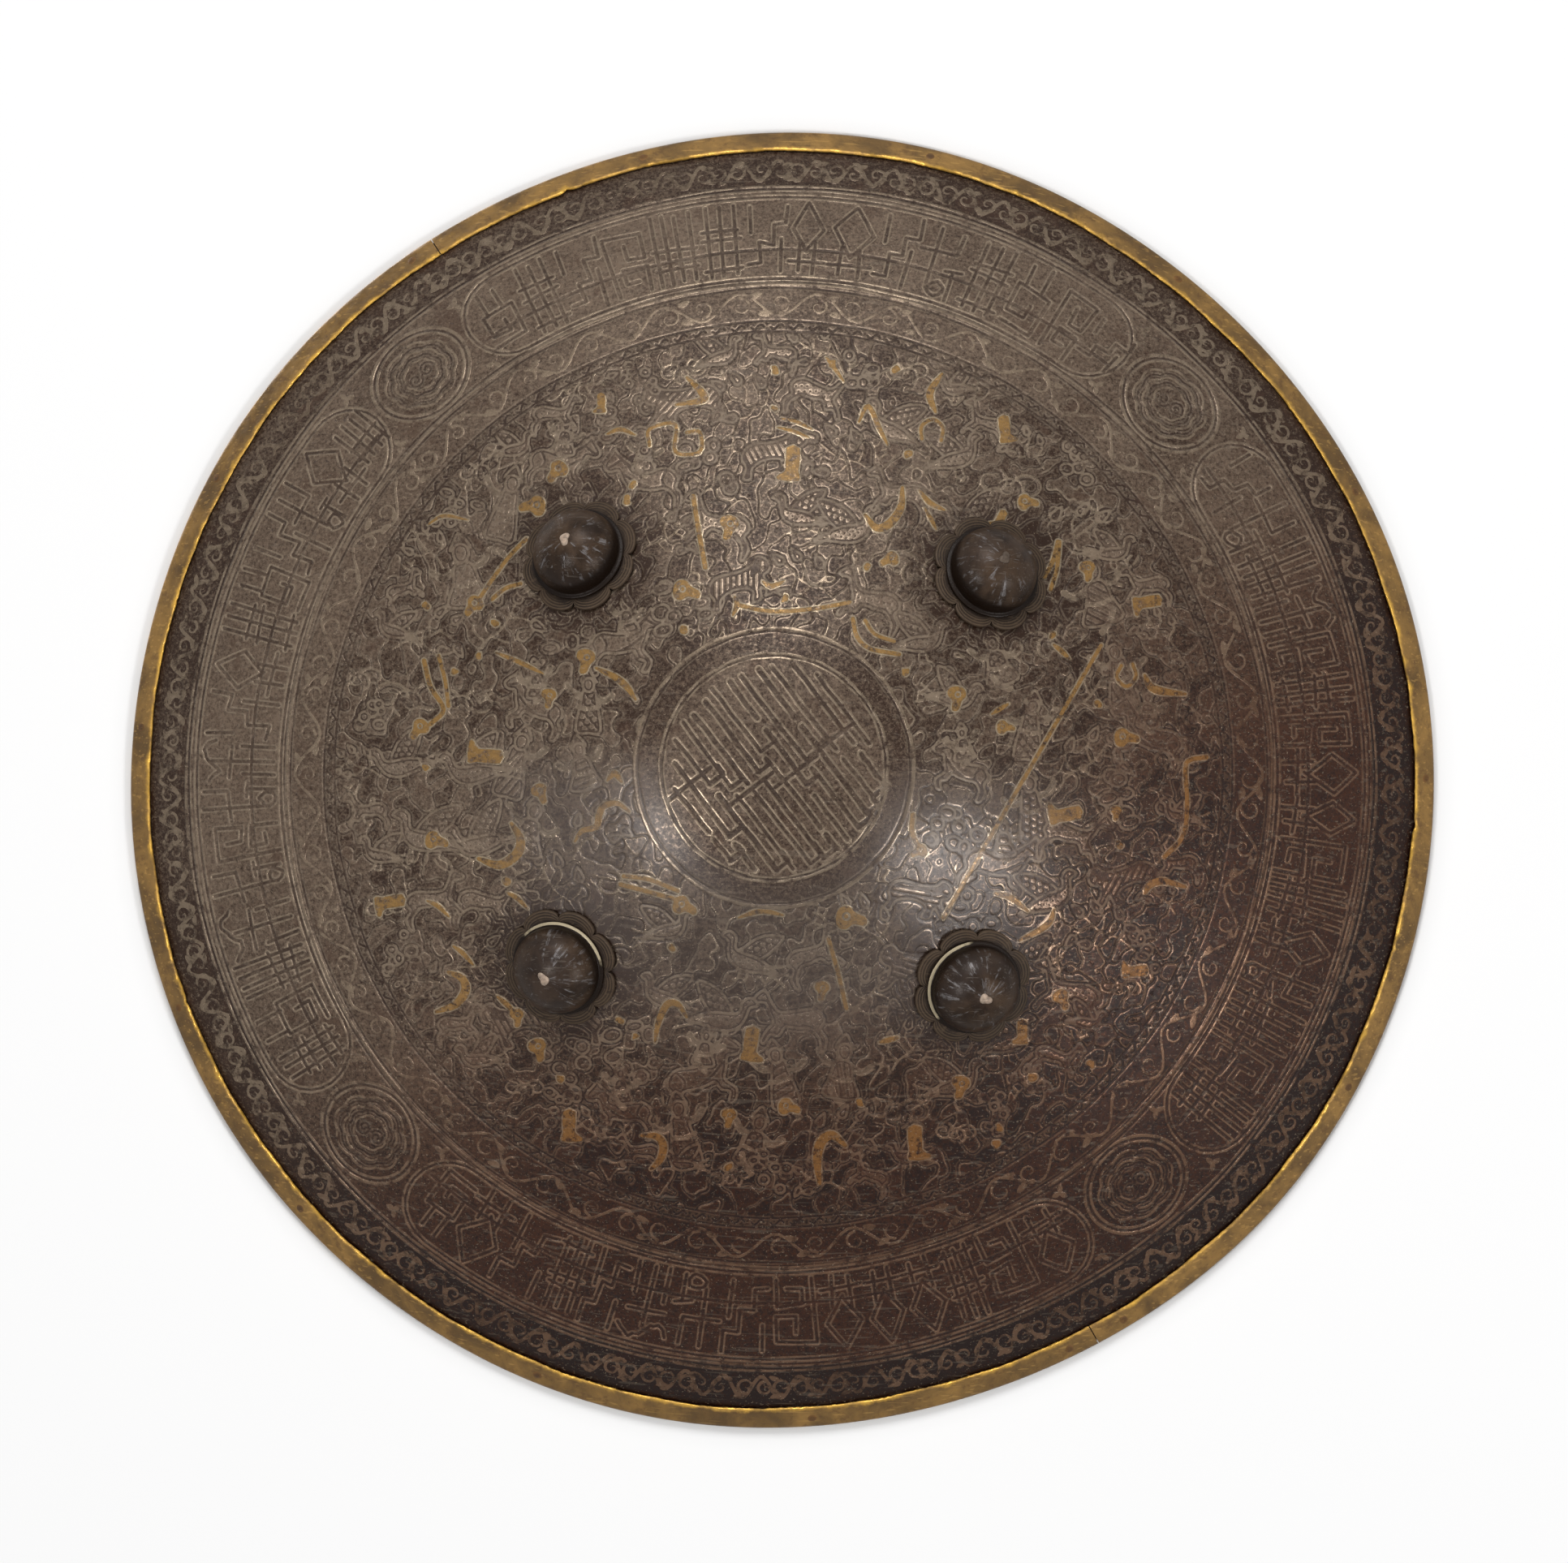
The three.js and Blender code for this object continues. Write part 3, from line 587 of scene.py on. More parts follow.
def depth_in(outline):
    """The window of a closed outline and the depth inside it: distance from the nearest side, negative outside."""
    outline = np.asarray(outline, float)
    spot, x, y = window(outline.min(0) - 1, outline.max(0) + 1)
    nearest = np.full(np.broadcast(x, y).shape, 9.0)
    inside = np.zeros(nearest.shape, bool)
    for a, b in zip(outline, np.roll(outline, -1, axis=0)):
        nearest = np.minimum(nearest, nearest_on(x, y, a, b)[1])
        if a[1] != b[1]:
            inside ^= ((a[1] > y) != (b[1] > y)) & (x < (b - a)[0] * (y - a[1]) / (b - a)[1] + a[0])
    return spot, x, y, np.where(inside, nearest, -nearest)


def fill(layer, outline):
    """Fills an outline with its own depth, up to 1 mm."""
    spot, _, _, depth = depth_in(outline)
    deepen(layer, spot, np.clip(depth, -1, 1))


def ground(outline, tone, keep=False):
    """Gives the ground inside an outline a tone, and clears its lines unless they are kept."""
    spot, _, _, depth = depth_in(outline)
    tint_ground(spot, tone, np.clip(depth * 2 + 0.5, 0, 1))
    for layer in () if keep else (PALE, DARK):
        art[layer][spot] = np.minimum(art[layer][spot], np.maximum(-depth, -1))


def texture(layer, outline, pitch, kind, turn):
    """Fills an outline with even lines, dots or scales. Depth = the lesser of the depth in the pattern and in the
    outline."""
    width = 0.7
    spot, x, y, depth = depth_in(outline)
    u = (x * math.cos(turn) + y * math.sin(turn)) / pitch
    v = (y * math.cos(turn) - x * math.sin(turn)) / pitch
    if kind == "hatch":
        pattern = width / 2 - np.abs(u - np.round(u)) * pitch
    else:
        row = np.floor(v)
        du, dv = u + 0.5 * (row % 2) - np.floor(u + 0.5 * (row % 2)) - 0.5, v - row
        ring = np.hypot(du, dv - 0.2)
        pattern = width / 2 - (np.abs(ring - 0.52) if kind == "scales" else np.hypot(du, dv - 0.5)) * pitch
    deepen(layer, spot, np.minimum(np.clip(pattern, -1, 1), depth - 0.5))


def curve(points, closed, steps):
    """A smooth curve through points: between b and c it is half of 2b + (c-a)t + (2a-5b+4c-d)tt + (3b-a-3c+d)ttt."""
    p = np.asarray(points, float)
    p = np.vstack([p[-1:], p, p[:2]]) if closed else np.vstack([2 * p[:1] - p[1:2], p, 2 * p[-1:] - p[-2:-1]])
    t = np.linspace(0, 1, steps, endpoint=False)[:, None, None]
    a, b, c, d = p[:-3], p[1:-2], p[2:-1], p[3:]
    path = (2 * b + (c - a) * t + (2 * a - 5 * b + 4 * c - d) * t * t + (3 * b - a - 3 * c + d) * t ** 3) / 2
    path = path.transpose(1, 0, 2).reshape(-1, 2)
    return path if closed else np.vstack([path, points[-1:]])


def ring_line(layer, radius, width):
    """A line all the way round, with the small unevenness of a hand-held graver."""
    spot, x, y, far = round_window(radius)
    azimuth = np.arctan2(y, x)
    uneven = GRAVER_SHAKE * (np.sin(9 * azimuth + radius) + np.sin(23 * azimuth + 2 * radius))
    deepen(layer, spot, np.maximum(width / 2 - np.abs(far + uneven - radius), -1))


def ring_ground(inner, outer, tone):
    """Gives the ground between two radii a tone, with soft edges."""
    spot, _, _, radius = round_window(outer)
    mask = np.clip((radius - inner) / SOFT_EDGE + 0.5, 0, 1) * np.clip((outer - radius) / SOFT_EDGE + 0.5, 0, 1)
    tint_ground(spot, tone, mask)


# %% [markdown]
# ## The hunt and battle in the wide band
# The wide band is crowded with riders, game and birds on a broken ground of rocks and leaves. Each kind of figure is
# drawn once on a square of a hundred units, y downwards as in a picture, and then laid many times at its own place,
# size and lean. Its body first clears the ground, so that figures stand in front of it, and then takes its own
# texture. A rider's head is a plain oval.

# %% Broken ground
BAND_INNER, BAND_OUTER = 48.3, 155.2
BROKEN_WAVES = 26
spot, x, y, radius = round_window(BAND_OUTER)
height, slope_x, slope_y = (np.zeros(radius.shape, np.float32) for _ in range(3))
for _ in range(BROKEN_WAVES):
    way, length = chance.uniform(0, 2 * math.pi), chance.uniform(5.5, 15)
    kx, ky = 2 * math.pi / length * math.cos(way), 2 * math.pi / length * math.sin(way)
    phase = (kx * x + ky * y + chance.uniform(0, 6.28)).astype(np.float32)
    size = length ** 0.6
    height += size * np.sin(phase)
    slope_x += size * kx * np.cos(phase)
    slope_y += size * ky * np.cos(phase)
steep = np.hypot(slope_x, slope_y) + 0.6
in_band = np.minimum(radius - BAND_INNER, BAND_OUTER - radius)
art[TONE][spot] = np.where(in_band > 0, 0.36 + 0.12 * np.tanh(height / 6), art[TONE][spot])
fade = 0.6 + 0.4 * np.sin(x * 0.13 + 2 * np.sin(y * 0.05)) * np.sin(y * 0.11 + 1.5 * np.sin(x * 0.07))
for layer, contour, width in ((DARK, 0.0, 1.0), (PALE, 4.0, 0.62)):
    line = np.minimum(width * fade / 2 - np.abs(height - contour) / steep, in_band)
    deepen(layer, spot, np.clip(line, -1, 1))
print("broken ground drawn")

# %% Figures
HORSE = [
    (-47, -16), (-37, -29), (-33, -35), (-28, -28), (-16, -18), (-4, -8), (10, -6), (28, -9), (39, -4), (44, 6),
    (41, 16), (47, 26), (44, 42), (37, 42), (38, 28), (28, 17), (14, 18), (0, 17), (-9, 16), (-13, 26), (-22, 31),
    (-17, 42), (-24, 43), (-30, 30), (-20, 16), (-25, 4), (-30, -8), (-38, -7), (-45, -9),
]
DEER = [
    (-42, -22), (-31, -31), (-26, -29), (-20, -16), (-12, -6), (6, -6), (24, -8), (36, -2), (39, 8), (34, 16),
    (41, 28), (37, 43), (33, 43), (33, 28), (22, 15), (8, 14), (-6, 12), (-14, 22), (-24, 20), (-31, 30), (-35, 26),
    (-27, 14), (-20, 6), (-24, -6), (-28, -17), (-39, -18),
]
BIRD = [
    (-32, -22), (-23, -29), (-14, -23), (-12, -10), (-2, -6), (14, -4), (30, 2), (46, 12), (28, 13), (12, 15),
    (-4, 14), (-16, 6), (-21, -6), (-23, -17),
]
WING = [
    (-6, -3), (4, -20), (20, -32), (42, -36), (37, -22), (28, -10), (14, 1),
]
ROBE = [
    (-9, -10), (-2, -15), (7, -15), (13, -9), (17, 8), (24, 28), (10, 34), (-12, 34), (-22, 28), (-13, 8),
]
LONG_ROBE = [
    (-8, -18), (8, -18), (12, 0), (19, 44), (0, 47), (-19, 44), (-12, 0),
]
HEAD = [
    (-7, -24), (-5, -33), (2, -36), (9, -32), (10, -23), (5, -16), (-3, -16),
]
CAP = [
    (-10, -30), (-4, -40), (2, -48), (9, -40), (13, -30), (2, -34),
]
CAT = [
    (-46, -10), (-40, -22), (-30, -24), (-22, -16), (0, -12), (24, -14), (38, -8), (44, 4), (40, 16), (46, 30),
    (36, 32), (32, 18), (14, 10), (-6, 12), (-14, 20), (-10, 32), (-22, 32), (-26, 16), (-36, 26), (-46, 30),
    (-48, 24), (-38, 14), (-34, 2), (-42, -2),
]
LEAVES = [
    [(-34, 26), (-14, 8), (8, 0), (34, -26)], [(-14, 8), (-22, -8), (-16, -20)], [(8, 0), (4, -18), (12, -30)],
    [(-4, 5), (10, 16), (26, 14)], [(18, -10), (34, -4), (44, 6)],
]
BEASTS = {"horse": (HORSE, None), "deer": (DEER, "dots"), "cat": (CAT, "hatch")}
ANTLERS = [[(-28, -30), (-26, -42), (-17, -50)], [(-26, -40), (-35, -47)], [(-23, -29), (-12, -38), (-6, -48)]]
CREASES = [[(-44, -11), (-34, -16), (-28, -20)], [(-22, -2), (-8, 8), (6, 14)], [(30, -6), (24, 6), (28, 16)]]
LEGS = [[(0, 14), (-3, 26), (-8, 28)], [(8, 14), (8, 27), (3, 30)]]
CURLS = ((22, 1.3, 0, PALE, 0.9), (17, 1.1, 0.4, DARK, 0.75))
ARMS = [[(-8, -8), (-22, -2), (-34, -10)], [(10, -8), (24, -12), (34, -24)]]


def turning(angle):
    """A matrix that turns rows of points by an angle."""
    cosine, sine = math.cos(angle), math.sin(angle)
    return np.array([[cosine, sine], [-sine, cosine]])


def curl(size, turns, start, way):
    """A spiral: the radius shrinks evenly from the size to a fifth of it."""
    part = np.linspace(0, 1, int(12 * turns))
    radius = size * (1 - 0.8 * part)
    return rounded(start + way * part * turns * 2 * math.pi, radius, radius)


def laid(points, at, size, turn, mirror=False):
    """Points of a hundred-unit square at a place of the photograph, in plan: scaled, mirrored, turned, projected."""
    p = np.asarray(points, float) * (-1 if mirror else 1, 1) * size / 100
    return spot_on_bow(p @ turning(turn) + at)


def figure(kind, at, size, turn, mirror):
    """One figure: its body clears the ground, takes a texture and gets its outline and a few inner lines."""
    def body(points, tone, filled=None, pitch=1.7, steps=3):
        """A closed form with its own ground, filling and outline."""
        outline = laid(curve(points, True, steps), at, size, turn, mirror)
        ground(outline, tone)
        if filled:
            texture(DARK, outline, pitch, filled, chance.uniform(0, 3))
        stroke(DARK, looped(outline), 1.9)
        stroke(PALE, looped(outline), 0.8)

    def line(points, layer=DARK, width=0.75, taper=None):
        """An inner line."""
        stroke(layer, laid(curve(points, False, 3), at, size, turn, mirror), width, taper)

    if kind in BEASTS:
        body(BEASTS[kind][0], 0.68, BEASTS[kind][1], 2.0)
    if kind == "horse":
        line([(43, 0), (50, 8), (53, 22), (49, 36)], PALE, 1.3, "end")
        for k in range(6):
            line([(-31 + 5 * k, -30 + 4 * k), (-25 + 4.6 * k, -20 + 4.6 * k)], DARK, 0.7)
        for crease in CREASES:
            line(crease)
    elif kind == "deer":
        for antler in ANTLERS:
            line(antler, PALE, 0.8)
    elif kind == "cat":
        line([(42, -2), (54, -10), (50, -24), (58, -30)], PALE, 0.9)
        for k in range(5):
            line([(-36 + 3 * k, -20 + k), (-30 + 3 * k, -6 + k)], DARK, 0.7)
    elif kind == "bird":
        body(WING, 0.62, "scales", 2.3)
        body(BIRD, 0.7, "dots", 1.7)
        for k in range(3):
            line([(28, 4 + 3 * k), (46, 2 + 8 * k), (58, -4 + 14 * k)], PALE, 0.8)
        for leg in LEGS:
            line(leg, PALE, 0.7)
    elif kind in ("rider", "standing"):
        for arm in ARMS:
            line(arm, PALE, 2.6)
            line(arm, DARK, 1.1)
        body(ROBE if kind == "rider" else LONG_ROBE, 0.66, chance.choice(["hatch", "scales", "dots"]), 2.4)
        line([(-13, 8), (2, 11), (16, 8)], PALE, 1.6)
        for k in range(5):
            line([(-11 + 5.6 * k, 9.5), (-10.6 + 5.6 * k, 9.5)], DARK, 0.9)
        body(CAP, 0.5, "hatch", 1.6)
        body(HEAD, 0.78)
        if kind == "rider":
            line([(14, 20), (8, 32), (-4, 42)], PALE, 2.2)
    elif kind == "leaves":
        for k, stem in enumerate(LEAVES):
            line(stem, PALE, 0.75)
            end, before = np.array(stem[-1], float), np.array(stem[-2], float)
            along = (end - before) / np.hypot(*(end - before)) * 11
            side = np.array([-along[1], along[0]]) * 0.5
            blade = [end - along * 0.4, end + side, end + along * 1.3, end - side]
            body(blade, 0.6, "hatch" if k % 2 else None, 1.4, 2)
    elif kind == "rocks":
        for k in range(9):
            middle = chance.uniform(-34, 34, 2)
            rock = rounded(full_turn(7), chance.uniform(7, 12), chance.uniform(6, 10)) + middle
            body(rock, chance.uniform(0.4, 0.62), "scales" if k % 3 == 0 else None, 1.8, 2)
    elif kind == "cloud":
        for k in range(3):
            for wide, turns, start, layer, width in CURLS:
                swirl = curl(wide, turns, k * 2.1 + start, 1 if k % 2 else -1)
                line(swirl * (1, 0.8) + (k * 24 - 24, 6 * (k % 2)), layer, width, "end")


CROWN_SPOT = np.array([953.0, 945.0])
# Rings of figures as (distance from the crown, size of a figure), in pixels.
FIGURE_RINGS = ((238, 92), (312, 96), (384, 100), (456, 100), (512, 66))
LARGE_KINDS = ["horse", "leaves", "bird", "rider", "rocks", "deer", "cloud", "standing", "cat", "bird", "leaves"]
SMALL_KINDS = ["leaves", "rocks", "cloud", "bird", "deer"]
count = 0
for ring, (far, size) in enumerate(FIGURE_RINGS):
    number = int(2 * math.pi * far / (size * 0.86))
    large = size > 70
    for k in range(number):
        angle = (k + 0.5 * (ring % 2) + chance.uniform(-0.12, 0.12)) * 2 * math.pi / number
        at = CROWN_SPOT + far * np.array([math.cos(angle), math.sin(angle)]) * chance.uniform(0.97, 1.03)
        kind = LARGE_KINDS[(count * 4 + ring) % len(LARGE_KINDS)] if large else SMALL_KINDS[count % len(SMALL_KINDS)]
        figure(kind, at, size * chance.uniform(0.88, 1.14), chance.uniform(-0.35, 0.35), chance.random() < 0.5)
        if kind == "horse":
            figure("rider", at + (2, -26), size * 0.62, chance.uniform(-0.15, 0.15), chance.random() < 0.5)
        count += 1
print("figures laid:", count)

# %% [markdown]
# ## The gold
# Gold wire and leaf were hammered into undercut hollows: horns, bows, boots, straps and the heads of beasts, each
# with a little ring for an eye. Their places are read off the photograph, in its own pixels. The widths are in
# millimetres. A crescent swells in the middle, and a wire keeps its width. Round the feet of the bosses the ground
# darkens, partly with dirt gathered there and partly with painted shade.

# %% Gold strokes
# Strokes as (width, points), heads and boots as (right, down, size, turn in degrees), flecks as places.
SWELLING = [
    (3.4, [(846, 464), (863, 481), (866, 492), (833, 498)]), (3.2, [(1161, 460), (1146, 484), (1153, 507)]),
    (3.8, [(1066, 634), (1080, 650), (1096, 645), (1110, 625), (1112, 600)]),
    (2.4, [(1133, 604), (1146, 619), (1164, 628)]), (1.8, [(1139, 625), (1148, 640), (1154, 652)]),
    (4.4, [(589, 1058), (615, 1066), (637, 1052), (641, 1034), (630, 1015)]),
    (3.6, [(1411, 832), (1418, 846), (1434, 852), (1461, 855)]),
    (3.2, [(1411, 1101), (1418, 1090), (1434, 1086), (1461, 1093)]),
    (4.0, [(552, 1198), (569, 1206), (573, 1221), (561, 1238), (537, 1247)]),
    (3.5, [(790, 1400), (809, 1401), (817, 1413), (813, 1430), (802, 1441)]),
    (4.4, [(1010, 1460), (1007, 1430), (1012, 1408), (1026, 1400), (1042, 1413)]),
    (3.0, [(734, 823), (757, 834), (772, 846), (783, 862)]), (2.6, [(748, 962), (757, 953), (766, 964)]),
    (3.0, [(708, 1037), (717, 1024), (734, 1019), (738, 1004), (744, 993), (760, 990), (775, 1000)]),
    (3.0, [(807, 1284), (811, 1260), (822, 1238), (835, 1238), (846, 1254)]),
    (2.6, [(1299, 1121), (1294, 1136), (1280, 1147), (1256, 1159)]), (2.4, [(1226, 1101), (1245, 1106), (1267, 1123)]),
    (2.0, [(526, 1110), (540, 1117), (553, 1130)]), (2.0, [(624, 1100), (637, 1107), (650, 1120)]),
    (2.0, [(558, 1166), (570, 1175), (583, 1190)]), (1.5, [(526, 646), (546, 635), (576, 640)]),
    (2.0, [(747, 534), (764, 528), (782, 535)]), (1.5, [(962, 515), (981, 519), (1001, 529)]),
    (1.5, [(958, 526), (978, 531), (997, 539)]), (2.2, [(910, 1131), (938, 1123), (965, 1128)]),
    (2.0, [(611, 804), (640, 816), (669, 830)]), (2.2, [(905, 735), (908, 745), (903, 758)]),
    (2.2, [(966, 716), (950, 722), (940, 716)]), (2.0, [(1222, 880), (1243, 867)]),
    (2.2, [(1298, 794), (1308, 802), (1318, 812)]), (2.4, [(1084, 1285), (1107, 1279)]),
    (2.2, [(1058, 520), (1070, 500), (1084, 528), (1094, 548)]), (1.8, [(1040, 470), (1026, 450), (1018, 440)]),
    (2.4, [(612, 1228), (624, 1238), (635, 1250)]),
]
EVEN = [
    (2.0, [(854, 611), (861, 655), (869, 699)]), (1.7, [(908, 745), (950, 753), (1000, 750), (1047, 742)]),
    (1.8, [(1051, 762), (1056, 784), (1072, 799), (1108, 806)]), (1.5, [(1066, 764), (1078, 781), (1102, 790)]),
    (1.6, [(1357, 795), (1163, 1131)]),
    (1.9, [(1487, 933), (1466, 937), (1461, 950), (1463, 990), (1458, 1030), (1435, 1056)]),
    (1.8, [(648, 664), (628, 684), (606, 714), (590, 738)]), (1.8, [(641, 719), (622, 725), (606, 738)]),
    (2.0, [(522, 814), (530, 846), (546, 874), (530, 892)]), (1.7, [(540, 808), (548, 838), (552, 870)]),
    (1.9, [(764, 1090), (795, 1098), (831, 1108)]), (1.7, [(768, 1080), (800, 1084), (835, 1098)]),
    (1.8, [(1021, 1157), (1033, 1200), (1043, 1243)]), (2.0, [(1133, 1045), (1124, 1025), (1125, 1004)]),
    (1.9, [(1304, 667), (1298, 690), (1288, 710)]), (1.7, [(1306, 667), (1303, 700), (1295, 726)]),
    (1.5, [(800, 548), (800, 528), (832, 522), (832, 556), (862, 556), (862, 532), (846, 532)]),
    (1.4, [(1382, 820), (1376, 834), (1388, 846), (1400, 834), (1396, 818)]),
    (1.5, [(1136, 540), (1136, 524), (1150, 516), (1162, 526), (1160, 542)]),
]
HEADS = [
    (686, 581, 37, 135), (656, 624, 41, 180), (583, 747, 34, 135), (845, 729, 42, 10), (516, 899, 34, 135),
    (720, 814, 38, 95), (675, 860, 30, 90), (665, 978, 32, 60), (843, 1118, 38, 20), (1267, 619, 32, 0),
    (1340, 703, 32, 80), (537, 1037, 36, 10), (1178, 860, 38, 90), (1239, 897, 28, 0), (1048, 1133, 48, 5),
    (1133, 1050, 26, 160), (636, 1254, 28, 80), (662, 1294, 36, 70), (1012, 1221, 30, 90), (972, 1366, 34, 10),
    (1183, 1340, 36, 95), (1308, 1232, 32, 60), (897, 1378, 30, 90), (897, 649, 38, 95), (1388, 910, 38, 0),
    (1096, 690, 30, 160), (1375, 1002, 22, 90), (1212, 1452, 24, 40),
]
BOOTS = [
    (740, 496, 26, 0), (976, 572, 46, 4), (1239, 529, 36, -8), (1413, 742, 38, 80), (596, 931, 46, 95),
    (479, 1112, 40, 80), (1312, 1004, 44, 80), (925, 1288, 46, 8), (701, 1389, 42, 0), (1129, 1411, 46, -4),
    (1398, 1197, 34, 85), (1260, 1273, 32, 0), (1232, 640, 26, 30),
]
PATCHES = [
    (955, 455), (955, 503), (524, 747), (609, 768), (779, 596), (772, 615), (843, 775), (1026, 447), (1069, 697),
    (967, 738), (1297, 783), (559, 827), (589, 808), (524, 946), (623, 1086), (828, 1168), (1116, 828), (1353, 868),
    (1379, 1041), (764, 1258), (783, 1277), (897, 1439), (1273, 1329), (1345, 1312), (1232, 1391), (1228, 1411),
    (703, 716), (1105, 455), (1120, 560), (690, 1330), (1060, 1360),
]
BEAST_HEAD = [
    (-46, -8), (-34, -34), (-8, -40), (14, -22), (44, -12), (52, 4), (44, 16), (10, 14), (-12, 32), (-38, 26),
]
BOOT = [
    (-20, -50), (20, -50), (18, 18), (40, 34), (40, 48), (-24, 48), (-20, 20),
]

LEAST_GOLD, GOLD_WIDTH, HEAD_SCALE, BOOT_SCALE = 1.15, 0.76, 0.82, 0.88
DIRT_AND_SHADE_REACH, DIRT_AND_SHADE_SOFT = 32, 11

for strokes, taper in ((SWELLING, "both"), (EVEN, None)):
    for width, points in strokes:
        stroke(GOLD, spot_on_bow(curve(points, False, 5)), max(LEAST_GOLD, GOLD_WIDTH * width), taper)
for px, py, size, turn in HEADS:
    turn = math.radians(turn)
    mirror = math.cos(turn) < -0.5
    lie = (px, py), size * HEAD_SCALE, turn - math.pi if mirror else turn, mirror
    outline = laid(curve(BEAST_HEAD, True, 3), *lie)
    ground(outline, 0.5)
    fill(GOLD, outline)
    eye, pupil = (laid(rounded(full_turn(count), wide, wide) + (-14, -8), *lie) for count, wide in ((10, 15), (8, 7)))
    spot, _, _, depth = depth_in(eye)
    art[GOLD][spot] = np.minimum(art[GOLD][spot], -depth)
    stroke(PALE, looped(eye), 0.75)
    fill(GOLD, pupil)
for px, py, size, turn in BOOTS:
    lie = (px, py), size * BOOT_SCALE, math.radians(turn)
    outline = laid(curve(BOOT, True, 2), *lie, px % 2 == 0)
    ground(outline, 0.5)
    fill(GOLD, outline)
    stroke(DARK, looped(laid(rounded(full_turn(10), 24, 10) + (0, -50), *lie)), 0.7)
for at in PATCHES:
    wild = rounded(full_turn(8), 1, 1) * chance.uniform(2.5, 6.5, (8, 1)) + at
    fill(GOLD, spot_on_bow(curve(wild, True, 2)))
gold_here = np.clip(art[GOLD] + 0.75, 0, 1)
for layer in (PALE, DARK):
    art[layer] = art[layer] * (1 - gold_here) - gold_here
x, y = cells()[None, :], cells()[:, None]
# Round each boss the ground darkens and its pale lines fade: dirt gathered there, and painted shade.
for turn in np.radians(list(BOSSES.values())):
    away = np.hypot(x - BOSS_RADIUS * math.cos(turn), y - BOSS_RADIUS * math.sin(turn))
    away += 1.6 * np.sin(x * 0.5) * np.sin(y * 0.43)
    dirt_and_shade = np.clip((DIRT_AND_SHADE_REACH - away) / DIRT_AND_SHADE_SOFT, 0, 1)
    art[TONE] -= 0.46 * dirt_and_shade
    art[PALE] -= 0.22 * dirt_and_shade
print("gold strokes", len(SWELLING) + len(EVEN), "heads", len(HEADS), "boots", len(BOOTS))

# %% [markdown]
# ## Ornament in rings
# The borders repeat, so each is a short rule. A vine is a wave with a curl and a leaf in every bend. Four long panels
# with round ends hold a plain fret of bars, keys, diamonds and loops. Between the panels lie round medallions of
# nested scallops.

# %% Borders
def ringwise(clock, radius, points):
    """Points (x clockwise along the ring, y outwards) in millimetres, bent round the ring at a clock angle."""
    points = np.asarray(points, float)
    far = radius + points[:, 1]
    return rounded(math.radians(90 - clock) - points[:, 0] / radius, far, far)


def vine(layer, middle, reach, count, width, leaf):
    """A wavy stem, radius = middle + reach * sin(count * azimuth), a curl in each bend and a leaf at its heart."""
    pitch = 360 / count
    wave = pitch / 360 * 2 * math.pi * middle
    for i in range(count):
        clock = i * pitch + chance.uniform(-0.12, 0.12) * pitch
        x = np.linspace(-wave / 2, wave / 2, 11)
        stroke(layer, ringwise(i * pitch, middle, np.stack([x, reach * np.sin(x * 2 * math.pi / wave)], -1)), width)
        for side in (1, -1):
            heart = np.array([side * wave / 4, -side * reach * 0.12])
            size = reach * chance.uniform(0.75, 0.95)
            spiral = curl(size, 1.1, math.pi / 2 * side, -side) * (1, 0.9) + heart
            stroke(layer, ringwise(clock, middle, spiral), width, "end")
            tip = heart + np.array([side * wave * 0.2, side * reach * 0.85]) * chance.uniform(0.8, 1.1)
            blade = curve(tip + leaf * np.array([(-1, 0), (0, 0.55), (1, side * 0.4), (0, -0.5)]), True, 3)
            fill(layer, ringwise(clock, middle, blade))


# Grounds as (inner radius, outer radius, tone), vines as (middle, reach, count, width, leaf), lines as (sheet,
# width, radii).
# The first ground is dark right up to the edge: the border's own dark ground, and beside the brass also painted shade.
GROUNDS = [(211.5, 236.0, 0.10), (155.6, 159.6, 0.26)]
VINES = [(219.3, 4.3, 100, 1.2, 1.9), (166.0, 4.5, 38, 0.9, 2.4)]
LINES = [(PALE, 0.7, (212.9, 173.6)), (PALE, 0.75, (210.9,)), (DARK, 0.7, (211.9, 174.9, 172.2, 159.4, 155.7))]
CABLE_RADIUS, CABLE_STEP = 157.5, 2.5
outside = np.abs(np.hypot(x, y) - (BAND_INNER + BAND_OUTER) / 2) > (BAND_OUTER - BAND_INNER) / 2 + 0.1
art[:TONE, outside] = -1
art[TONE, outside] = 0.5
for inner, outer, tone in GROUNDS:
    ring_ground(inner, outer, tone)
for rule in VINES:
    vine(PALE, *rule)
for layer, width, radii in LINES:
    for radius in radii:
        ring_line(layer, radius, width)
wave = np.stack([np.linspace(-2.6, 2.0, 9), 0.9 * np.sin(np.linspace(-math.pi, math.pi, 9))], -1)
for clock in np.arange(0, 360, CABLE_STEP):
    stroke(DARK, ringwise(clock, CABLE_RADIUS, wave), 0.7)
print("borders drawn")

# %% Panels with a plain fret
MEDALLION_CLOCKS = [43.9, 136.3, 226.2, 315.7]
PANEL_RADIUS, PANEL_HIGH, MEDALLION_ROOM = 192.2, 17.2, 21.5
FRET_LOW, FRET_HIGH = -14.4, 28.6


def in_panel(clock, points):
    """Points laid out on the ring of the panels, at a clock angle."""
    return ringwise(clock, PANEL_RADIUS, points)


def rounded_panel(long, high):
    """Half a round end at each side of a long panel."""
    right = rounded(np.linspace(-math.pi / 2, math.pi / 2, 13), high, high) + (long - high, 0)
    straight = np.linspace(long - high, high - long, 40)[1:-1]
    top, bottom = (np.stack([way * straight, np.full(38, way * high)], -1) for way in (1, -1))
    return np.vstack([right, top, -right, bottom])


def upright(x, low=0.02, high=0.97):
    """An upright bar of the fret, on a square of one by one."""
    return [(x, low), (x, high)]


def crossbar(y, left=0.0, right=1.0):
    """A level bar of the fret."""
    return [(left, y), (right, y)]


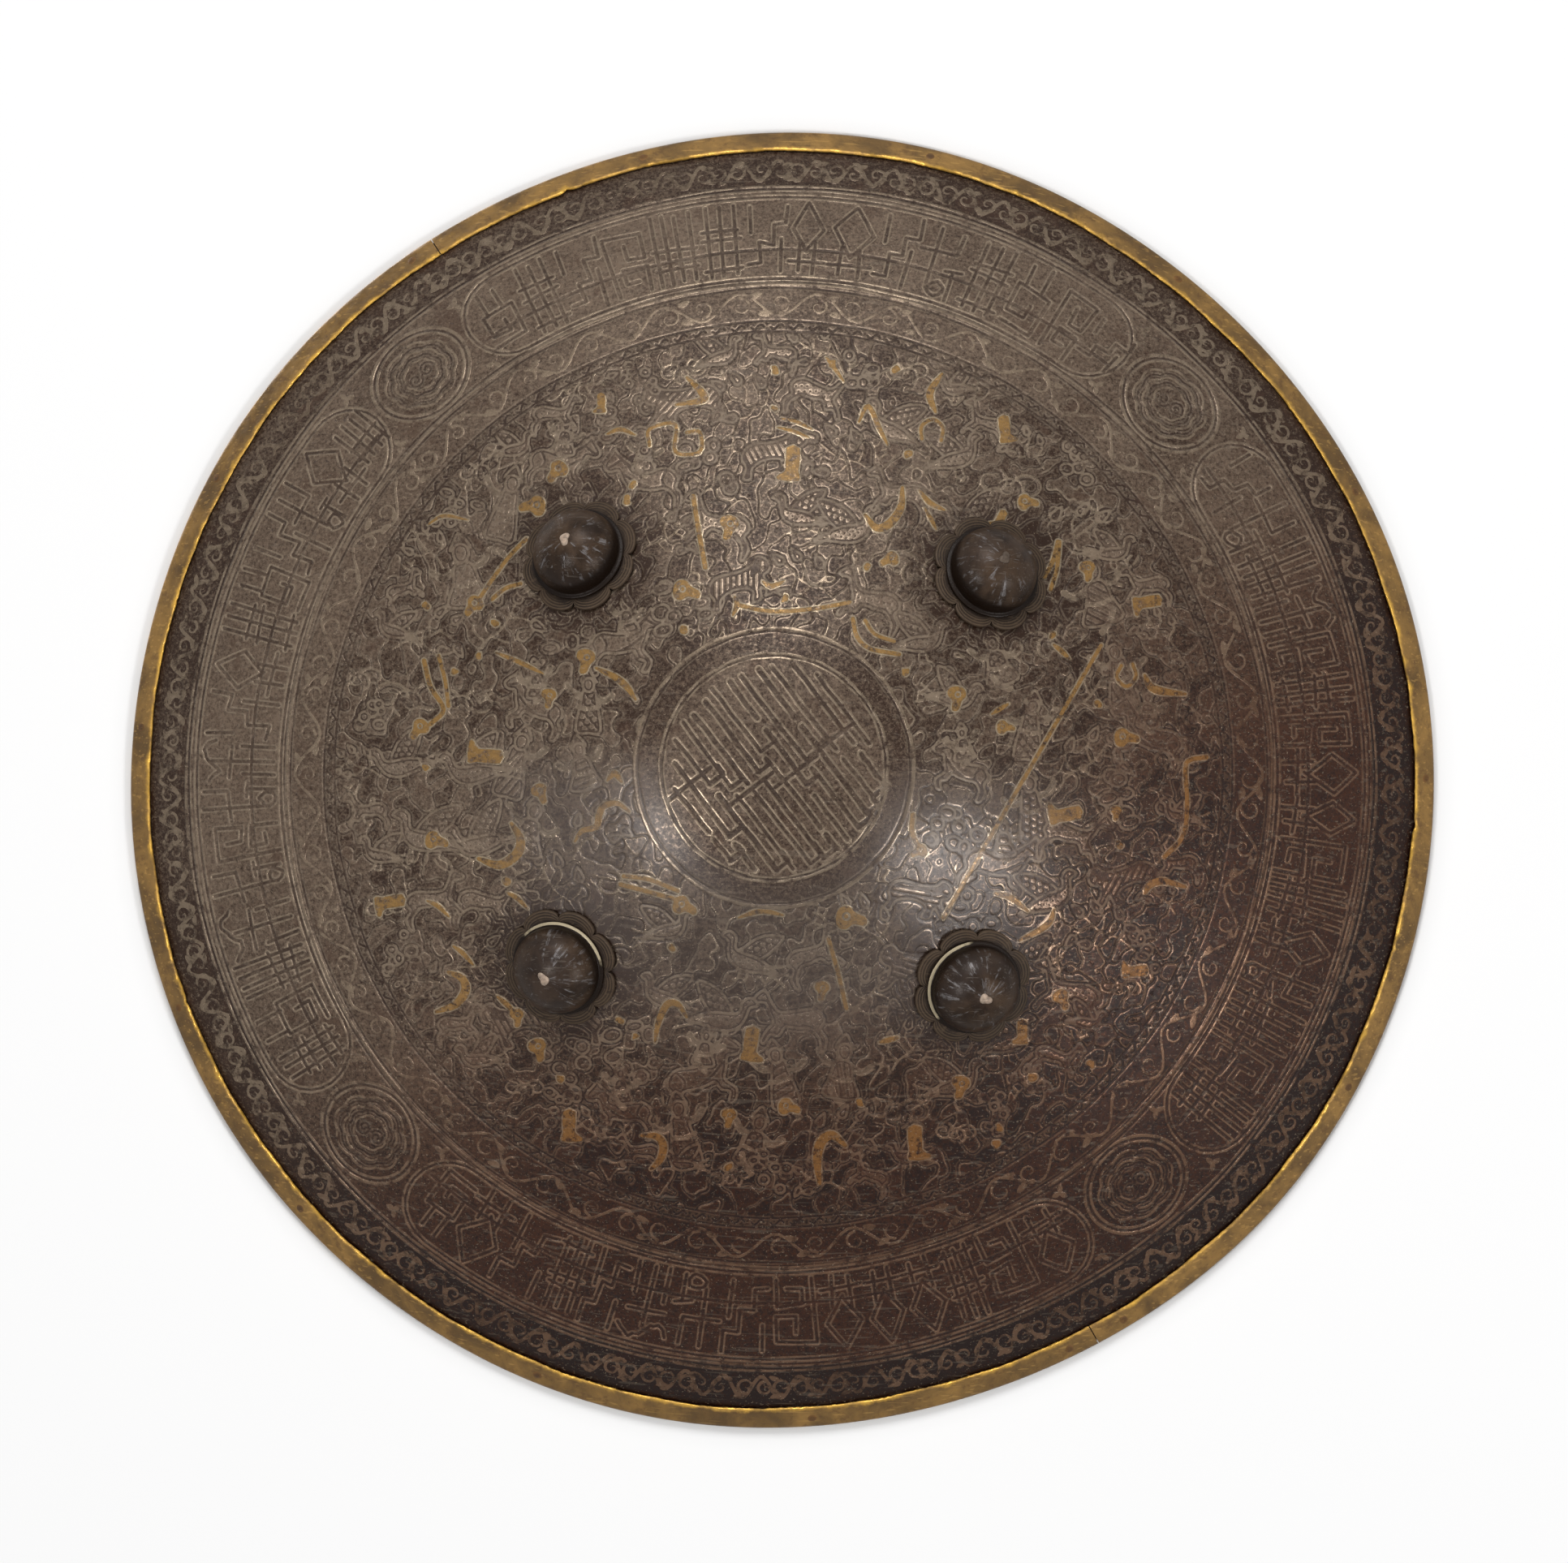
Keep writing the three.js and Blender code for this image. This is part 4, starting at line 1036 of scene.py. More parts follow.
loop = looped(rounded(full_turn(9), 0.2, 0.09)) + (0.55, 0.12)
ripple = curve([(0.0, 0.9), (0.25, 0.78), (0.5, 0.9), (0.75, 0.98), (1.0, 0.85)], False, 3)
FRETS = [
    [upright(0.1), upright(0.36), upright(0.63), upright(0.9), crossbar(0.2), crossbar(0.48)],
    [[(0.1, 0.02), (0.1, 0.86), (0.92, 0.86), (0.92, 0.5), (0.5, 0.5), (0.5, 0.7)],
     [(0.92, 0.02), (0.92, 0.36), (0.36, 0.36), (0.36, 0.16), (0.66, 0.16)]],
    [[(0.0, 0.14), (0.33, 0.14), (0.33, 0.42), (0.66, 0.42), (0.66, 0.7), (1.0, 0.7), (1.0, 0.97)],
     upright(0.12, 0.6), upright(0.85, 0.02, 0.5)],
    [[(0.35, 0.97), (0.35, 0.18)], loop, [(0.0, 0.62), (0.8, 0.62), (0.8, 0.97)],
     crossbar(0.4, 0.62), upright(0.82, 0.02, 0.4)],
    [[(0.0, 0.08), (0.85, 0.08), (0.85, 0.62), (0.08, 0.62), (0.08, 0.24), (0.55, 0.24), (0.55, 0.44)],
     upright(0.2, 0.62), upright(0.62, 0.62)],
    [upright(0.2), upright(0.5), upright(0.8), crossbar(0.12, 0.05, 0.95), crossbar(0.52, 0.05, 0.95),
     crossbar(0.66, 0.1, 0.9)],
    [[(0.5, 0.3), (0.92, 0.64), (0.5, 0.97), (0.08, 0.64), (0.5, 0.3)], upright(0.28, 0.02, 0.42),
     upright(0.72, 0.02, 0.42), crossbar(0.18)],
    [ripple, [(0.5, 0.85), (0.5, 0.02)], crossbar(0.6, 0.1, 0.9), upright(0.14, 0.02, 0.45),
     upright(0.86, 0.02, 0.45)],
]
for i, medallion in enumerate(MEDALLION_CLOCKS):
    following = MEDALLION_CLOCKS[(i + 1) % 4] + (360 if i == 3 else 0)
    clock = (medallion + following) / 2
    long = math.radians(following - medallion) / 2 * PANEL_RADIUS - MEDALLION_ROOM
    ground(in_panel(clock, rounded_panel(long, PANEL_HIGH)), 0.56)
    for inset, layer, width in ((0, PALE, 0.75), (0.9, DARK, 0.7), (1.8, PALE, 0.7)):
        stroke(layer, looped(in_panel(clock, rounded_panel(long - inset, PANEL_HIGH - inset))), width)
    foot_line = [(along, FRET_LOW + 0.33 * FRET_HIGH) for along in np.linspace(5 - long, long - 5, 60)]
    stroke(DARK, in_panel(clock, foot_line), 1.1)
    at = 7 - long
    while at < long - 14:
        wide = chance.uniform(12.5, 17.0)
        squeeze = min(1.0, 0.55 + 0.045 * (min(at + long, long - at - wide)))
        for line in FRETS[chance.integers(len(FRETS))]:
            line = np.asarray(line) + chance.uniform(-0.03, 0.03, (len(line), 2))
            corners = np.stack([at + line[:, 0] * wide, (FRET_LOW + line[:, 1] * FRET_HIGH) * squeeze], -1)
            for a, b in zip(corners[:-1], corners[1:]):
                lipped_cut(in_panel(clock, np.linspace(a, b, 3)), 1.2, 1.15)
        at += wide * 1.08
    for side, high_side in ((-1, -1), (-1, 1), (1, -1), (1, 1)):
        heart = in_panel(clock, [(side * (long - 2.5), high_side * 14.2)])[0]
        for turn in np.arange(3) * 2.1 + 0.5 * side:
            fill(PALE, heart + curve([(0, 0), (1.4, 1.0), (3.2, 0), (1.4, -1.0)], True, 3) @ turning(turn))

FLAT = 0.87
scallop = np.linspace(0, 2 * math.pi, 73)
for clock in MEDALLION_CLOCKS:
    for size, layer, width in ((19.4, PALE, 1.0), (18.2, DARK, 0.7), (17.1, PALE, 0.8)):
        stroke(layer, in_panel(clock, looped(rounded(full_turn(48), size, size * FLAT))), width)
    ground(in_panel(clock, rounded(full_turn(32), 16.4, 14.2)), 0.4, keep=True)
    for size, layer, width in ((13.8, PALE, 0.8), (12.0, DARK, 0.7), (10.2, PALE, 0.75), (8.3, DARK, 0.75),
                               (6.4, PALE, 0.7)):
        radius = size * (1 + 0.09 * np.abs(np.sin(4 * scallop + size * 0.2)) - 0.05)
        stroke(layer, in_panel(clock, rounded(scallop, radius, FLAT * radius)), width)
    for side in (-1, 1):
        stroke(DARK, in_panel(clock, curl(2.9, 1.5, 0, side) + (side * 2.9, 0.4 * side)), 0.75)
cut_through(172, 211)
print("panels and medallions drawn")

# %% Centre medallion
LEAN = math.radians(-50)
ROW_STEP, ROUND = 5.2, 35.2
lean_along, lean_across = turning(LEAN)
ring_ground(37.6, 47.4, 0.3)
ring_ground(0, 37.4, 0.46)
for layer, radius, width in ((PALE, 47.6, 1.0), (PALE, 38.9, 0.8), (PALE, 37.4, 0.75), (DARK, 38.1, 0.7),
                             (DARK, 46.4, 0.6)):
    ring_line(layer, radius, width)
for k, across in enumerate(np.arange(-31.2, 32, ROW_STEP)):
    limit = math.sqrt(ROUND ** 2 - across ** 2)
    along = -limit + chance.uniform(0, 3)
    while along < limit - 6:
        reach = min(along + chance.uniform(14, 40), limit)
        path = [across * lean_across + along * lean_along, across * lean_across + reach * lean_along]
        if chance.random() < 0.75 and abs(across + ROW_STEP) < 30:
            path.append(path[-1] + lean_across * ROW_STEP)
            path.append(path[-1] - lean_along * chance.uniform(2, 5))
        for a, b in zip(path[:-1], path[1:]):
            bars = np.linspace(a, b, 6)
            shake = 0.55 * np.sin(0.31 * bars[:, :1] + 0.23 * bars[:, 1:] + k) + chance.uniform(-0.2, 0.2, (6, 1))
            lipped_cut(bars + shake * lean_across, chance.uniform(1.2, 1.9))
        along = reach + chance.uniform(2.5, 5)
    if k % 3 == 1:
        cross = chance.uniform(-0.6, 0.6) * limit
        lipped_cut([cross * lean_along + (across + way) * lean_across for way in (-9, 9)], 1.4)
cut_through(0, 37)
print("centre medallion drawn")

# %% [markdown]
# ## The plate
# The plate is one sheet of steel, but a mesh that carries all the drawing would be far too heavy for one piece. It
# is made as closed ring bands that meet edge to edge. Rows run outwards along the bow and columns go round, half a
# millimetre apart. Every point reads its depths off the sheets, keeps them as a colour for the material, and is
# raised or sunk a little by them, so the cuts are real hollows too.

# %% Plate bands
def read_sheets(places):
    """The four sheets at places in plan (..., 2), each a weighted mean of the four cells around."""
    grid = (places + HALF_SHEET) / CELL - 0.5
    first = np.clip(np.floor(grid).astype(int), 0, CELLS - 2)
    part = (grid - first).astype(np.float32)
    i, j, u, v = first[..., 1], first[..., 0], part[..., 0], part[..., 1]
    low = art[:, i, j] * (1 - u) + art[:, i, j + 1] * u
    high = art[:, i + 1, j] * (1 - u) + art[:, i + 1, j + 1] * u
    return np.moveaxis(low * (1 - v) + high * v, 0, -1)


def dents(places):
    """The faint unevenness of a hammered sheet: a few long sine waves, a tenth of a millimetre high."""
    x, y = places[..., 0], places[..., 1]
    waves = np.sin(0.11 * x + 0.05 * y) + np.sin(0.07 * y - 0.09 * x + 1) + np.sin(0.16 * y + 0.05 * x + 2)
    return 0.045 * waves + 0.03 * (np.sin(0.3 * x + 0.12 * y) + np.sin(0.26 * y - 0.2 * x + 4))


FINE_RADII = np.linspace(0, EDGE_RADIUS, 4000)
FINE_RUNS = run_at(FINE_RADII)
PITCH, FIRST_RING = 0.54, 0.6
FACE_DOWN, PALE_UP, DARK_DOWN, TONE_UP = 0.19, 0.05, 0.12, 0.12
BAND_EDGES = [0, 48.4, 84, 110, 132, 151, 172.7, 191, 209, 223, EDGE_RADIUS - 0.35]
BARE = (0.0, 0, 0, 0.5)


def bow_grid(runs, rows, around):
    """Radii whose runs are an even way apart, as a column, and the azimuths of a full turn, as a row."""
    return np.interp(np.linspace(*runs, rows), FINE_RUNS, FINE_RADII)[:, None], full_turn(around)[None]


def plate_band(name, inner, outer):
    """A closed ring band. Outer face: on_bow(radius, azimuth, relief), where relief = dents - face down + pale up *
    pale - dark down * dark + tone up * (tone - 0.5). Inner face: on_bow(radius, azimuth, -1.4)."""
    runs = run_at(np.array([max(inner, FIRST_RING), outer]))
    rows = int(round((runs[1] - runs[0]) / PITCH)) + 1
    radius, azimuth = bow_grid(runs, rows, int(round(2 * math.pi * outer / PITCH)))
    plan = rounded(azimuth, radius, radius)
    depths = read_sheets(plan)
    cut = np.clip(depths + 0.25, 0, 0.5) * 2
    relief = dents(plan) - FACE_DOWN + PALE_UP * cut[..., PALE] - DARK_DOWN * cut[..., DARK]
    relief += TONE_UP * (depths[..., TONE] - 0.5)
    face = on_bow(radius, azimuth, np.minimum(relief, 0.0) * np.clip((EDGE_RADIUS - radius) / 2, 0, 1))
    few = np.unique(np.linspace(0, rows - 1, 6).astype(int))[::-1]
    points = np.concatenate([face, on_bow(radius[few], azimuth, -PLATE)])
    poles = {"first_pole": crown_point(), "last_pole": crown_point(-PLATE)} if inner == 0 else {}
    mesh = grid_mesh(name, points, wrap_rows=inner > 0, **poles)
    colours = (depths * (0.5, 0.5, 0.5, 1) + (0.5, 0.5, 0.5, 0)).reshape(-1, 4)
    spare = len(mesh.vertices) - len(colours)
    set_values(mesh, "art", np.concatenate([colours, np.tile(BARE, (spare, 1))]))
    return mesh


# %% [markdown]
# The steel has gone brown with age. A fine grain stands for the etched ground, blotches for patina, and the depths
# draw the lines: pale where a lip has been rubbed, near black where dirt fills a cut, ochre where gold is left. A
# thin pale lip runs along both sides of each cut and round each piece of gold. Painted shade makes the steel darker
# and browner towards the lower right, and pale specks are painted glints.

# %% Material: etched steel
steel = Finish("etched steel")
drawn = steel.stored("art")
tone = drawn["Alpha"]
depths = named(add(steel.tree, "ShaderNodeSeparateColor", {"Color": drawn["Color"]}))
metal = steel.use(old_metal, Grain_Scale=1100.0, Blotch_Scale=42.0, Scratch_Scale=22.0)
speck = steel.noise(760.0, 3.0, 0.8)
cloud = steel.noise(14.0, 4.0, 0.6, 0.6)
worn = cloud.between(0.50, 0.63)
rubbed = steel.noise(240.0, 4.0, 0.7).between(0.34, 0.56)
kept = steel.noise(110.0, 4.0, 0.65).between(0.38, 0.58, 0.2, 1.0)
pits = steel.noise(330.0, 5.0, 0.7).between(0.60, 0.70)
rust = steel.noise(75.0, 6.0, 0.7, 0.5).between(0.53, 0.66)
# Painted shade: the steel is coloured darker and browner towards the lower right, away from the top lamp; this axis
# grows towards the upper left.
painted_shade_axis = steel.place.vector("DOT_PRODUCT", (-0.55, 0.83, 0.0))
far = steel.place.vector("MULTIPLY", (1.0, 1.0, 0.0), key="Vector").vector("LENGTH")
painted_shade_lower_right = painted_shade_axis.between(0.03, -0.10) * far.between(0.05, 0.15)
pale = depths["Red"].between(0.43, 0.54)
dark = depths["Green"].between(0.43, 0.55)
gold = depths["Blue"].between(0.44, 0.53)
cut_lip = depths["Green"].between(0.12, 0.36) * (1.0 - dark)
gold_lip = depths["Blue"].between(0.14, 0.34) * (1.0 - gold)

shade = tone * 0.95 + metal["Blotch"] * 0.55 + (speck - 0.5) * 2.3 + (cloud - 0.5) * 0.5
# Painted shade: the tone falls towards the lower right.
shade = shade + painted_shade_axis.between(-0.22, 0.22, -0.32, -0.06, soft=False)
steel.start(shade.between(0.15, 0.95, soft=False), (41, 24, 13), (113, 96, 81))
steel.lay(rust * 0.45, 69, 48, 36)
steel.lay(pits * 0.5, 44, 30, 23)
# Painted shade towards the lower right, laid once here and again after the gold.
steel.lay(painted_shade_lower_right, 180, 150, 135, way="MULTIPLY")
steel.lay(cut_lip * 0.32 * rubbed, 140, 126, 110)
steel.lay(pale * (rubbed * worn.ramp(0.58, 0.36)), 140, 124, 105)
filled = dark * (worn.ramp(0.70, 0.38) - painted_shade_lower_right * 0.25)
steel.lay(filled * (kept * (1.0 - pale)), 43, 28, 20)
steel.lay(gold_lip * (rubbed * 0.85), 146, 131, 108)
left = steel.noise(320.0, 5.0, 0.75).between(0.34, 0.54)
steel.lay(gold * left, blend(metal["Grain"], colour(104, 78, 44), colour(158, 122, 70)))
# Painted shade towards the lower right, laid again over the gold.
steel.lay(painted_shade_lower_right, 222, 197, 186, way="MULTIPLY")
# Painted glints: pale specks scattered over the steel.
steel.lay(steel.noise(1000.0, 2.0, 0.8).between(0.60, 0.74) * 0.45, 168, 150, 128)
steel.lay(metal["Scratches"] * 0.14, 146, 132, 116)
crown = far.between(0.030, 0.046) * far.between(0.115, 0.075)
polish = crown * steel.place.split()["Y"].between(0.012, -0.012) * cloud.between(0.35, 0.6, 0.7, 1.0)
steel.lay(polish * 0.35, 61, 48, 40)

steel.bump(pale * 0.5 + dark * -0.9 + gold * 0.3 + speck * 0.4 + pits * -0.8 + tone * 0.8, 0.00016, 0.8)
high = most(most(pale, cut_lip) * rubbed, speck.between(0.50, 0.66) * 0.7) * (1.0 - dark)
steel.feed(Metallic=high.ramp(0.12, 0.64), Specular_IOR_Level=0.2, Coat_Weight=polish * 0.48, Coat_Roughness=0.33,
           Roughness=high.ramp(0.44, 0.27) - polish * 0.09)

for i, (inner, outer) in enumerate(zip(BAND_EDGES[:-1], BAND_EDGES[1:])):
    mesh = plate_band(f"plate_band_{i + 1:02d}", inner, outer)
    piece(mesh, steel, "shell", "etched_steel", "shield_plate")
    print(mesh.name, "points", len(mesh.vertices), "faces", len(mesh.polygons))

# %% [markdown]
# ## The brass rim
# A strip of brass was folded over the edge and beaten down with a small hammer, so its inner edge wanders and its
# face has shallow dents. The section is a closed line: out along the face, round the nose, back along the inside,
# and home through the slot that holds the plate. It is carried round the edge in two lengths with a seam between
# them. A number from 0 at the inner edge to 1 at the nose is kept for the material, which colours the inner edge
# bright by it: partly wear, where hands have rubbed it, and partly a painted highlight.

# %% Rim section and sweep
STRIP, FACE_WIDE, SEAM, NICK_WIDE, COLUMNS_PER_DEGREE = 1.0, 7.7, 0.4, 0.006, 3.4
SEAM_CLOCKS = (148.0, 324.5)
# Nicks of the inner edge as (clock angle in the photograph, depth).
NICKS = ((94.4, 0.9), (249.3, 0.7), (340.1, 1.1))


def rim_section():
    """Section points as (way inwards along the plate, share of the strip's width added to it, way across the
    plate), with rounded strip ends."""
    slot = NOSE - STRIP
    shares = np.linspace(0, 1, 4)
    parts = [
        [(-0.12 * math.sin(math.pi * p), p, NOSE) for p in np.linspace(1, 0, 9)[:-1]],
        [(-NOSE * math.cos(t), 0.0, NOSE * math.sin(t)) for t in np.linspace(math.pi / 2, -math.pi / 2, 15)],
        [(0.0, p, -NOSE) for p in shares[1:]],
        [(0.25, 1.0, -NOSE + 0.3), (0.25, 1.0, -slot - 0.3), (0.0, 1.0, -slot)],
        [(0.0, p, -slot) for p in shares[::-1][1:]],
        [(-0.3, 0.0, -slot), (-0.3, 0.0, slot)],
        [(0.0, p, slot) for p in shares[1:]],
        [(0.22, 1.0, slot + 0.25), (0.24, 1.0, slot + 0.6)],
    ]
    return np.concatenate(parts).T


def rim_length(name, start_clock, end_clock):
    """One length of the strip: the section carried from clock to clock, wide = 7.7 + waves - nicks, pressed with
    dents. A point goes in by along * cos(slope) and up by along * sin(slope) - along ^ 2 / (2 * bend * cos(slope))."""
    around = int(abs(end_clock - start_clock) * COLUMNS_PER_DEGREE)
    gap = math.degrees(SEAM / 2 / EDGE_RADIUS)
    clock = np.radians(np.linspace(start_clock + gap, end_clock - gap, around))
    azimuth = math.pi / 2 - clock
    wide = FACE_WIDE + 0.22 * np.sin(11 * clock + 1) + 0.16 * np.sin(27 * clock) + 0.12 * np.sin(61 * clock + 2)
    wide += 0.08 * chance.standard_normal(around)
    for nick, size in NICKS:
        for late in (0, 2 * math.pi):
            wide -= size * np.exp(-((clock - math.radians(nick - PHOTO_TURN_DEG) + late) / NICK_WIDE) ** 2)
    inwards, share, across = rim_section()
    along = inwards + share * wide[:, None]
    beaten = 0.07 * np.sin(53 * clock[:, None] + 3 * along) + 0.05 * np.sin(97 * clock[:, None] - 2 * along)
    bend = np.clip(along, 0, None) ** 2 / 2 / ARC_BENDS[2] / math.cos(EDGE_SLOPE)
    pressed = across - np.abs(beaten) * (across > 1.5)
    sine, cosine = math.sin(EDGE_SLOPE), math.cos(EDGE_SLOPE)
    out = EDGE_RADIUS - PLATE / 2 * sine - along * cosine + pressed * sine + edge_wobble(azimuth)[:, None]
    up = height_at(EDGE_RADIUS) - PLATE / 2 * cosine + along * sine + pressed * cosine - bend
    points = np.stack([out * np.cos(azimuth)[:, None], out * np.sin(azimuth)[:, None], np.maximum(up, 0.0)], -1)
    mesh = grid_mesh(name, points, first_pole=points[0].mean(0), last_pole=points[-1].mean(0), sharp=60)
    # The material uses this number to paint the inner edge bright: wear, and a painted highlight.
    rubbed = np.broadcast_to(np.where(across > 0.5, share, 0.4), (around, len(across)))
    set_values(mesh, "rubbed", np.concatenate([rubbed.ravel(), [0.4, 0.4]]))
    return mesh


# %% Material: old brass
brass = Finish("old brass")
metal = brass.use(old_metal, Grain_Scale=700.0, Blotch_Scale=55.0, Scratch_Scale=26.0)
uneven = brass.stored("rubbed")["Fac"] + (brass.noise(150.0, 5.0, 0.65) - 0.5) * 0.8
# A bright band at the inner edge of the face: rubbed wear and a painted highlight.
rubbed_and_highlit_edge = uneven.between(0.80, 1.15)
brass.start(metal["Blotch"].between(0.3, 0.7), (88, 66, 36), (144, 110, 58))
brass.lay(brass.noise(260.0, 5.0, 0.7).between(0.5, 0.66) * 0.6, 88, 62, 34)
brass.lay(rubbed_and_highlit_edge, 206, 160, 66)
brass.lay(metal["Scratches"] * 0.3, 190, 150, 84)
brass.bump(metal["Grain"] + brass.noise(210.0, 3.0) * 2.2, 0.0002, 0.6)
brass.feed(Metallic=0.6, Roughness=rubbed_and_highlit_edge.between(0.0, 1.0, 0.5, 0.32))

for side, start, end in (("right", SEAM_CLOCKS[1] - 360, SEAM_CLOCKS[0]), ("left", *SEAM_CLOCKS)):
    mesh = rim_length(f"brass_rim_{side}", start, end)
    piece(mesh, brass, "shell", "brass_rim", f"rim_binding_{side}")
    print(mesh.name, "points", len(mesh.vertices))

# %% [markdown]
# ## Small iron: rivets, rosettes, washers and studs
# These are turned shapes and cut sheet. Each is a profile carried round an axis that stands square on the plate. The
# places of points near a boss are worked out on the bow, so a rosette bends with the plate under it.

# %% Places on the bow round a boss
def about_boss(azimuth_deg, out, turn, offset):
    """A point at a distance out and a turn about a boss's axis, at an offset from the face: the spot goes out * cos
    (turn) * cos(slope) along the radius and out * sin(turn) across it, and then onto the bow."""
    along = BOSS_RADIUS + out * np.cos(turn) * math.cos(slope_at(np.float64(BOSS_RADIUS)))
    across = out * np.sin(turn)
    return on_bow(np.hypot(along, across), math.radians(azimuth_deg) + np.arctan2(across, along), offset)


def on_axis(azimuth_deg, offset):
    """The point of a boss's axis at an offset from the face."""
    return about_boss(azimuth_deg, np.zeros(1), 0.0, offset)[0]


def turned(name, azimuth_deg, profile, sides=64, sharp=35, uneven=1.0):
    """A profile of (distance from the axis, offset) carried round a boss's axis, closed at both ends. The distances
    may be made uneven by factors for each row and each turn."""
    profile = np.asarray(profile, float)
    points = about_boss(azimuth_deg, profile[1:-1, :1] * uneven, full_turn(sides)[None], profile[1:-1, 1:])
    ends = [on_axis(azimuth_deg, profile[k, 1]) for k in (0, -1)]
    return grid_mesh(name, points, first_pole=ends[0], last_pole=ends[1], sharp=sharp)


# %% Material: dark iron
def iron(name, first, second, worn, gloss, amount, scale=90.0, shine=0.3):
    """Iron in two browns by its blotches, rubbed on its edges. Where a mesh keeps the distance from its edge, three
    fine lines follow that edge."""
    made = Finish(name)
    metal = made.use(old_metal, Grain_Scale=900.0, Blotch_Scale=scale, Scratch_Scale=30.0)
    wear = made.use(edge_wear, Width=0.05, Break_Up=0.7, Break_Scale=240.0)["Wear"]
    spots = made.noise(300.0, 5.0, 0.7).between(0.55, 0.7)
    inset = made.stored("inset")["Fac"]
    lines = off_centre(inset).between(0.30, 0.16) * abs(inset - 1.9).between(1.6, 1.4)
    made.start(metal["Blotch"].between(0.3, 0.7), first, second)
    made.lay(spots * 0.55, 40, 31, 27)
    made.lay(wear * amount, *worn)
    made.lay(metal["Scratches"] * 0.3, *worn)
    made.lay(lines * spots.between(0.0, 1.0, 0.55, 0.1), *worn)
    made.bump(metal["Grain"] + metal["Blotch"] * 1.5, 0.0002, 0.6)
    made.feed(Metallic=0.2, Specular_IOR_Level=shine, Roughness=metal["Blotch"].between(0.2, 0.8, gloss, gloss + 0.22))
    return made


rosette_iron = iron("rosette iron", (26, 19, 15), (50, 39, 31), (92, 76, 60), 0.46, 0.4, 90.0, 0.15)
forged_iron = iron("forged iron", (50, 42, 38), (84, 74, 66), (140, 130, 116), 0.38, 0.7)
rivet_iron = iron("rivet iron", (64, 44, 26), (98, 68, 36), (140, 100, 52), 0.45, 0.4)
stud_iron = iron("stud iron", (46, 36, 30), (186, 160, 140), (196, 176, 156), 0.4, 0.5, 560.0)
dull_stud = iron("dull stud iron", (44, 34, 28), (84, 72, 62), (112, 98, 86), 0.4, 0.5, 560.0, 0.15)

# %% Rivets
RIVET_CLOCKS = [11, 36, 61, 87.5, 116, 145, 150.5, 174.5, 199.5, 225.5, 246.5, 272, 295.5, 322, 345]
RIVET_INSET, RIVET_SIDES = 3, 20
RIVET_PROFILE = np.array([(0, 2.08), (0.7, 2.07), (1.35, 2.0), (1.68, 1.86), (1.7, 1.5), (1.7, -1.7), (1.5, -2.02),
                          (0.7, -2.08), (0, -2.08)])
far = EDGE_RADIUS - RIVET_INSET * math.cos(EDGE_SLOPE)
slope = float(slope_at(np.float64(far)))
turn = full_turn(RIVET_SIDES)
for i, clock in enumerate(RIVET_CLOCKS):
    azimuth = math.radians(90 - clock)
    centre = on_bow(np.float64(far), np.float64(azimuth), -PLATE / 2)
    outward = np.array([math.cos(azimuth), math.sin(azimuth), 0])
    normal = outward * math.sin(slope) + Z * math.cos(slope)
    side = unit(np.cross(normal, outward))
    ring = np.cos(turn)[:, None] * side + np.sin(turn)[:, None] * np.cross(normal, side)
    uneven = 1 + 0.05 * np.sin(2 * turn + i) + 0.03 * np.sin(5 * turn + 2 * i)
    inner = RIVET_PROFILE[1:-1, None]
    points = centre + inner[..., :1] * uneven[None, :, None] * ring[None] + inner[..., 1:] * normal
    poles = [centre + RIVET_PROFILE[k, 1] * normal for k in (0, -1)]
    mesh = grid_mesh(f"rivet_{i + 1:02d}", points, first_pole=poles[0], last_pole=poles[1], sharp=45)
    piece(mesh, rivet_iron, "shell", "rivet_iron", f"rim_rivet_{i + 1:02d}")
print("rivets", len(RIVET_CLOCKS))

# %% [markdown]
# A rosette is a sheet with eight lobes, snipped and filed, so no two lobes are quite alike. The outline is a radius
# that swells with the root of a sine between notches, and the edge is rounded by narrow rows.

# %% Rosettes and washers
LOBES, NOTCH_RADIUS, LOBE_DEPTH = 8, 17.8, 3.2
# Rows of a rosette as (distance from the axis, or 0 to follow the outline; offset; inset from the outline).
ROSETTE_ROWS = [(3.0, 1.7, 0), (9, 1.7, 0), (14, 1.7, 0), (16.5, 1.68, 0), (0, 1.66, 0.9), (0, 1.6, 0.25),
                (0, 1.4, 0.05), (0, 1.0, 0), (0, 0.6, 0.05), (0, 0.35, 0.3), (14, 0.32, 0), (3.0, 0.32, 0)]
WASHER_PROFILE = [(0, -3.5), (8.9, -3.5), (9.4, -3.7), (9.5, -4.1), (9.3, -4.5), (8.8, -4.7), (3, -4.72), (0, -4.72)]
turn = full_turn(256)
lobe = np.floor(turn / (2 * math.pi / LOBES)).astype(int)
swell = np.abs(np.sin(LOBES / 2 * turn))
for name, azimuth_deg in BOSSES.items():
    vary, bent = (chance.uniform(least, greatest, LOBES)[lobe] * swell ** 2
                  for least, greatest in ((-0.35, 0.0), (-0.28, 0.3)))
    lobed = NOTCH_RADIUS + (LOBE_DEPTH + vary) * swell ** 0.5
    far = np.array([lobed * 0 + distance if distance else lobed - inset for distance, _, inset in ROSETTE_ROWS])
    offset = np.array(ROSETTE_ROWS)[:, 1:2]
    lift = np.maximum(offset + bent * np.clip((far - 16) / 5, 0, 1) ** 1.5 * (offset > 0.3), 0.22)
    mesh = grid_mesh(f"rosette_{name}_cut", about_boss(azimuth_deg, far, turn[None], lift), wrap_rows=True, sharp=50)
    set_values(mesh, "inset", (lobed - far).ravel())
    piece(mesh, rosette_iron, "shell", "rosette_iron", f"rosette_{name}")
    washer = turned(f"washer_{name}_turned", azimuth_deg, WASHER_PROFILE)
    piece(washer, rosette_iron, "shell", "rosette_iron", f"washer_{name}")
print("rosettes and washers")
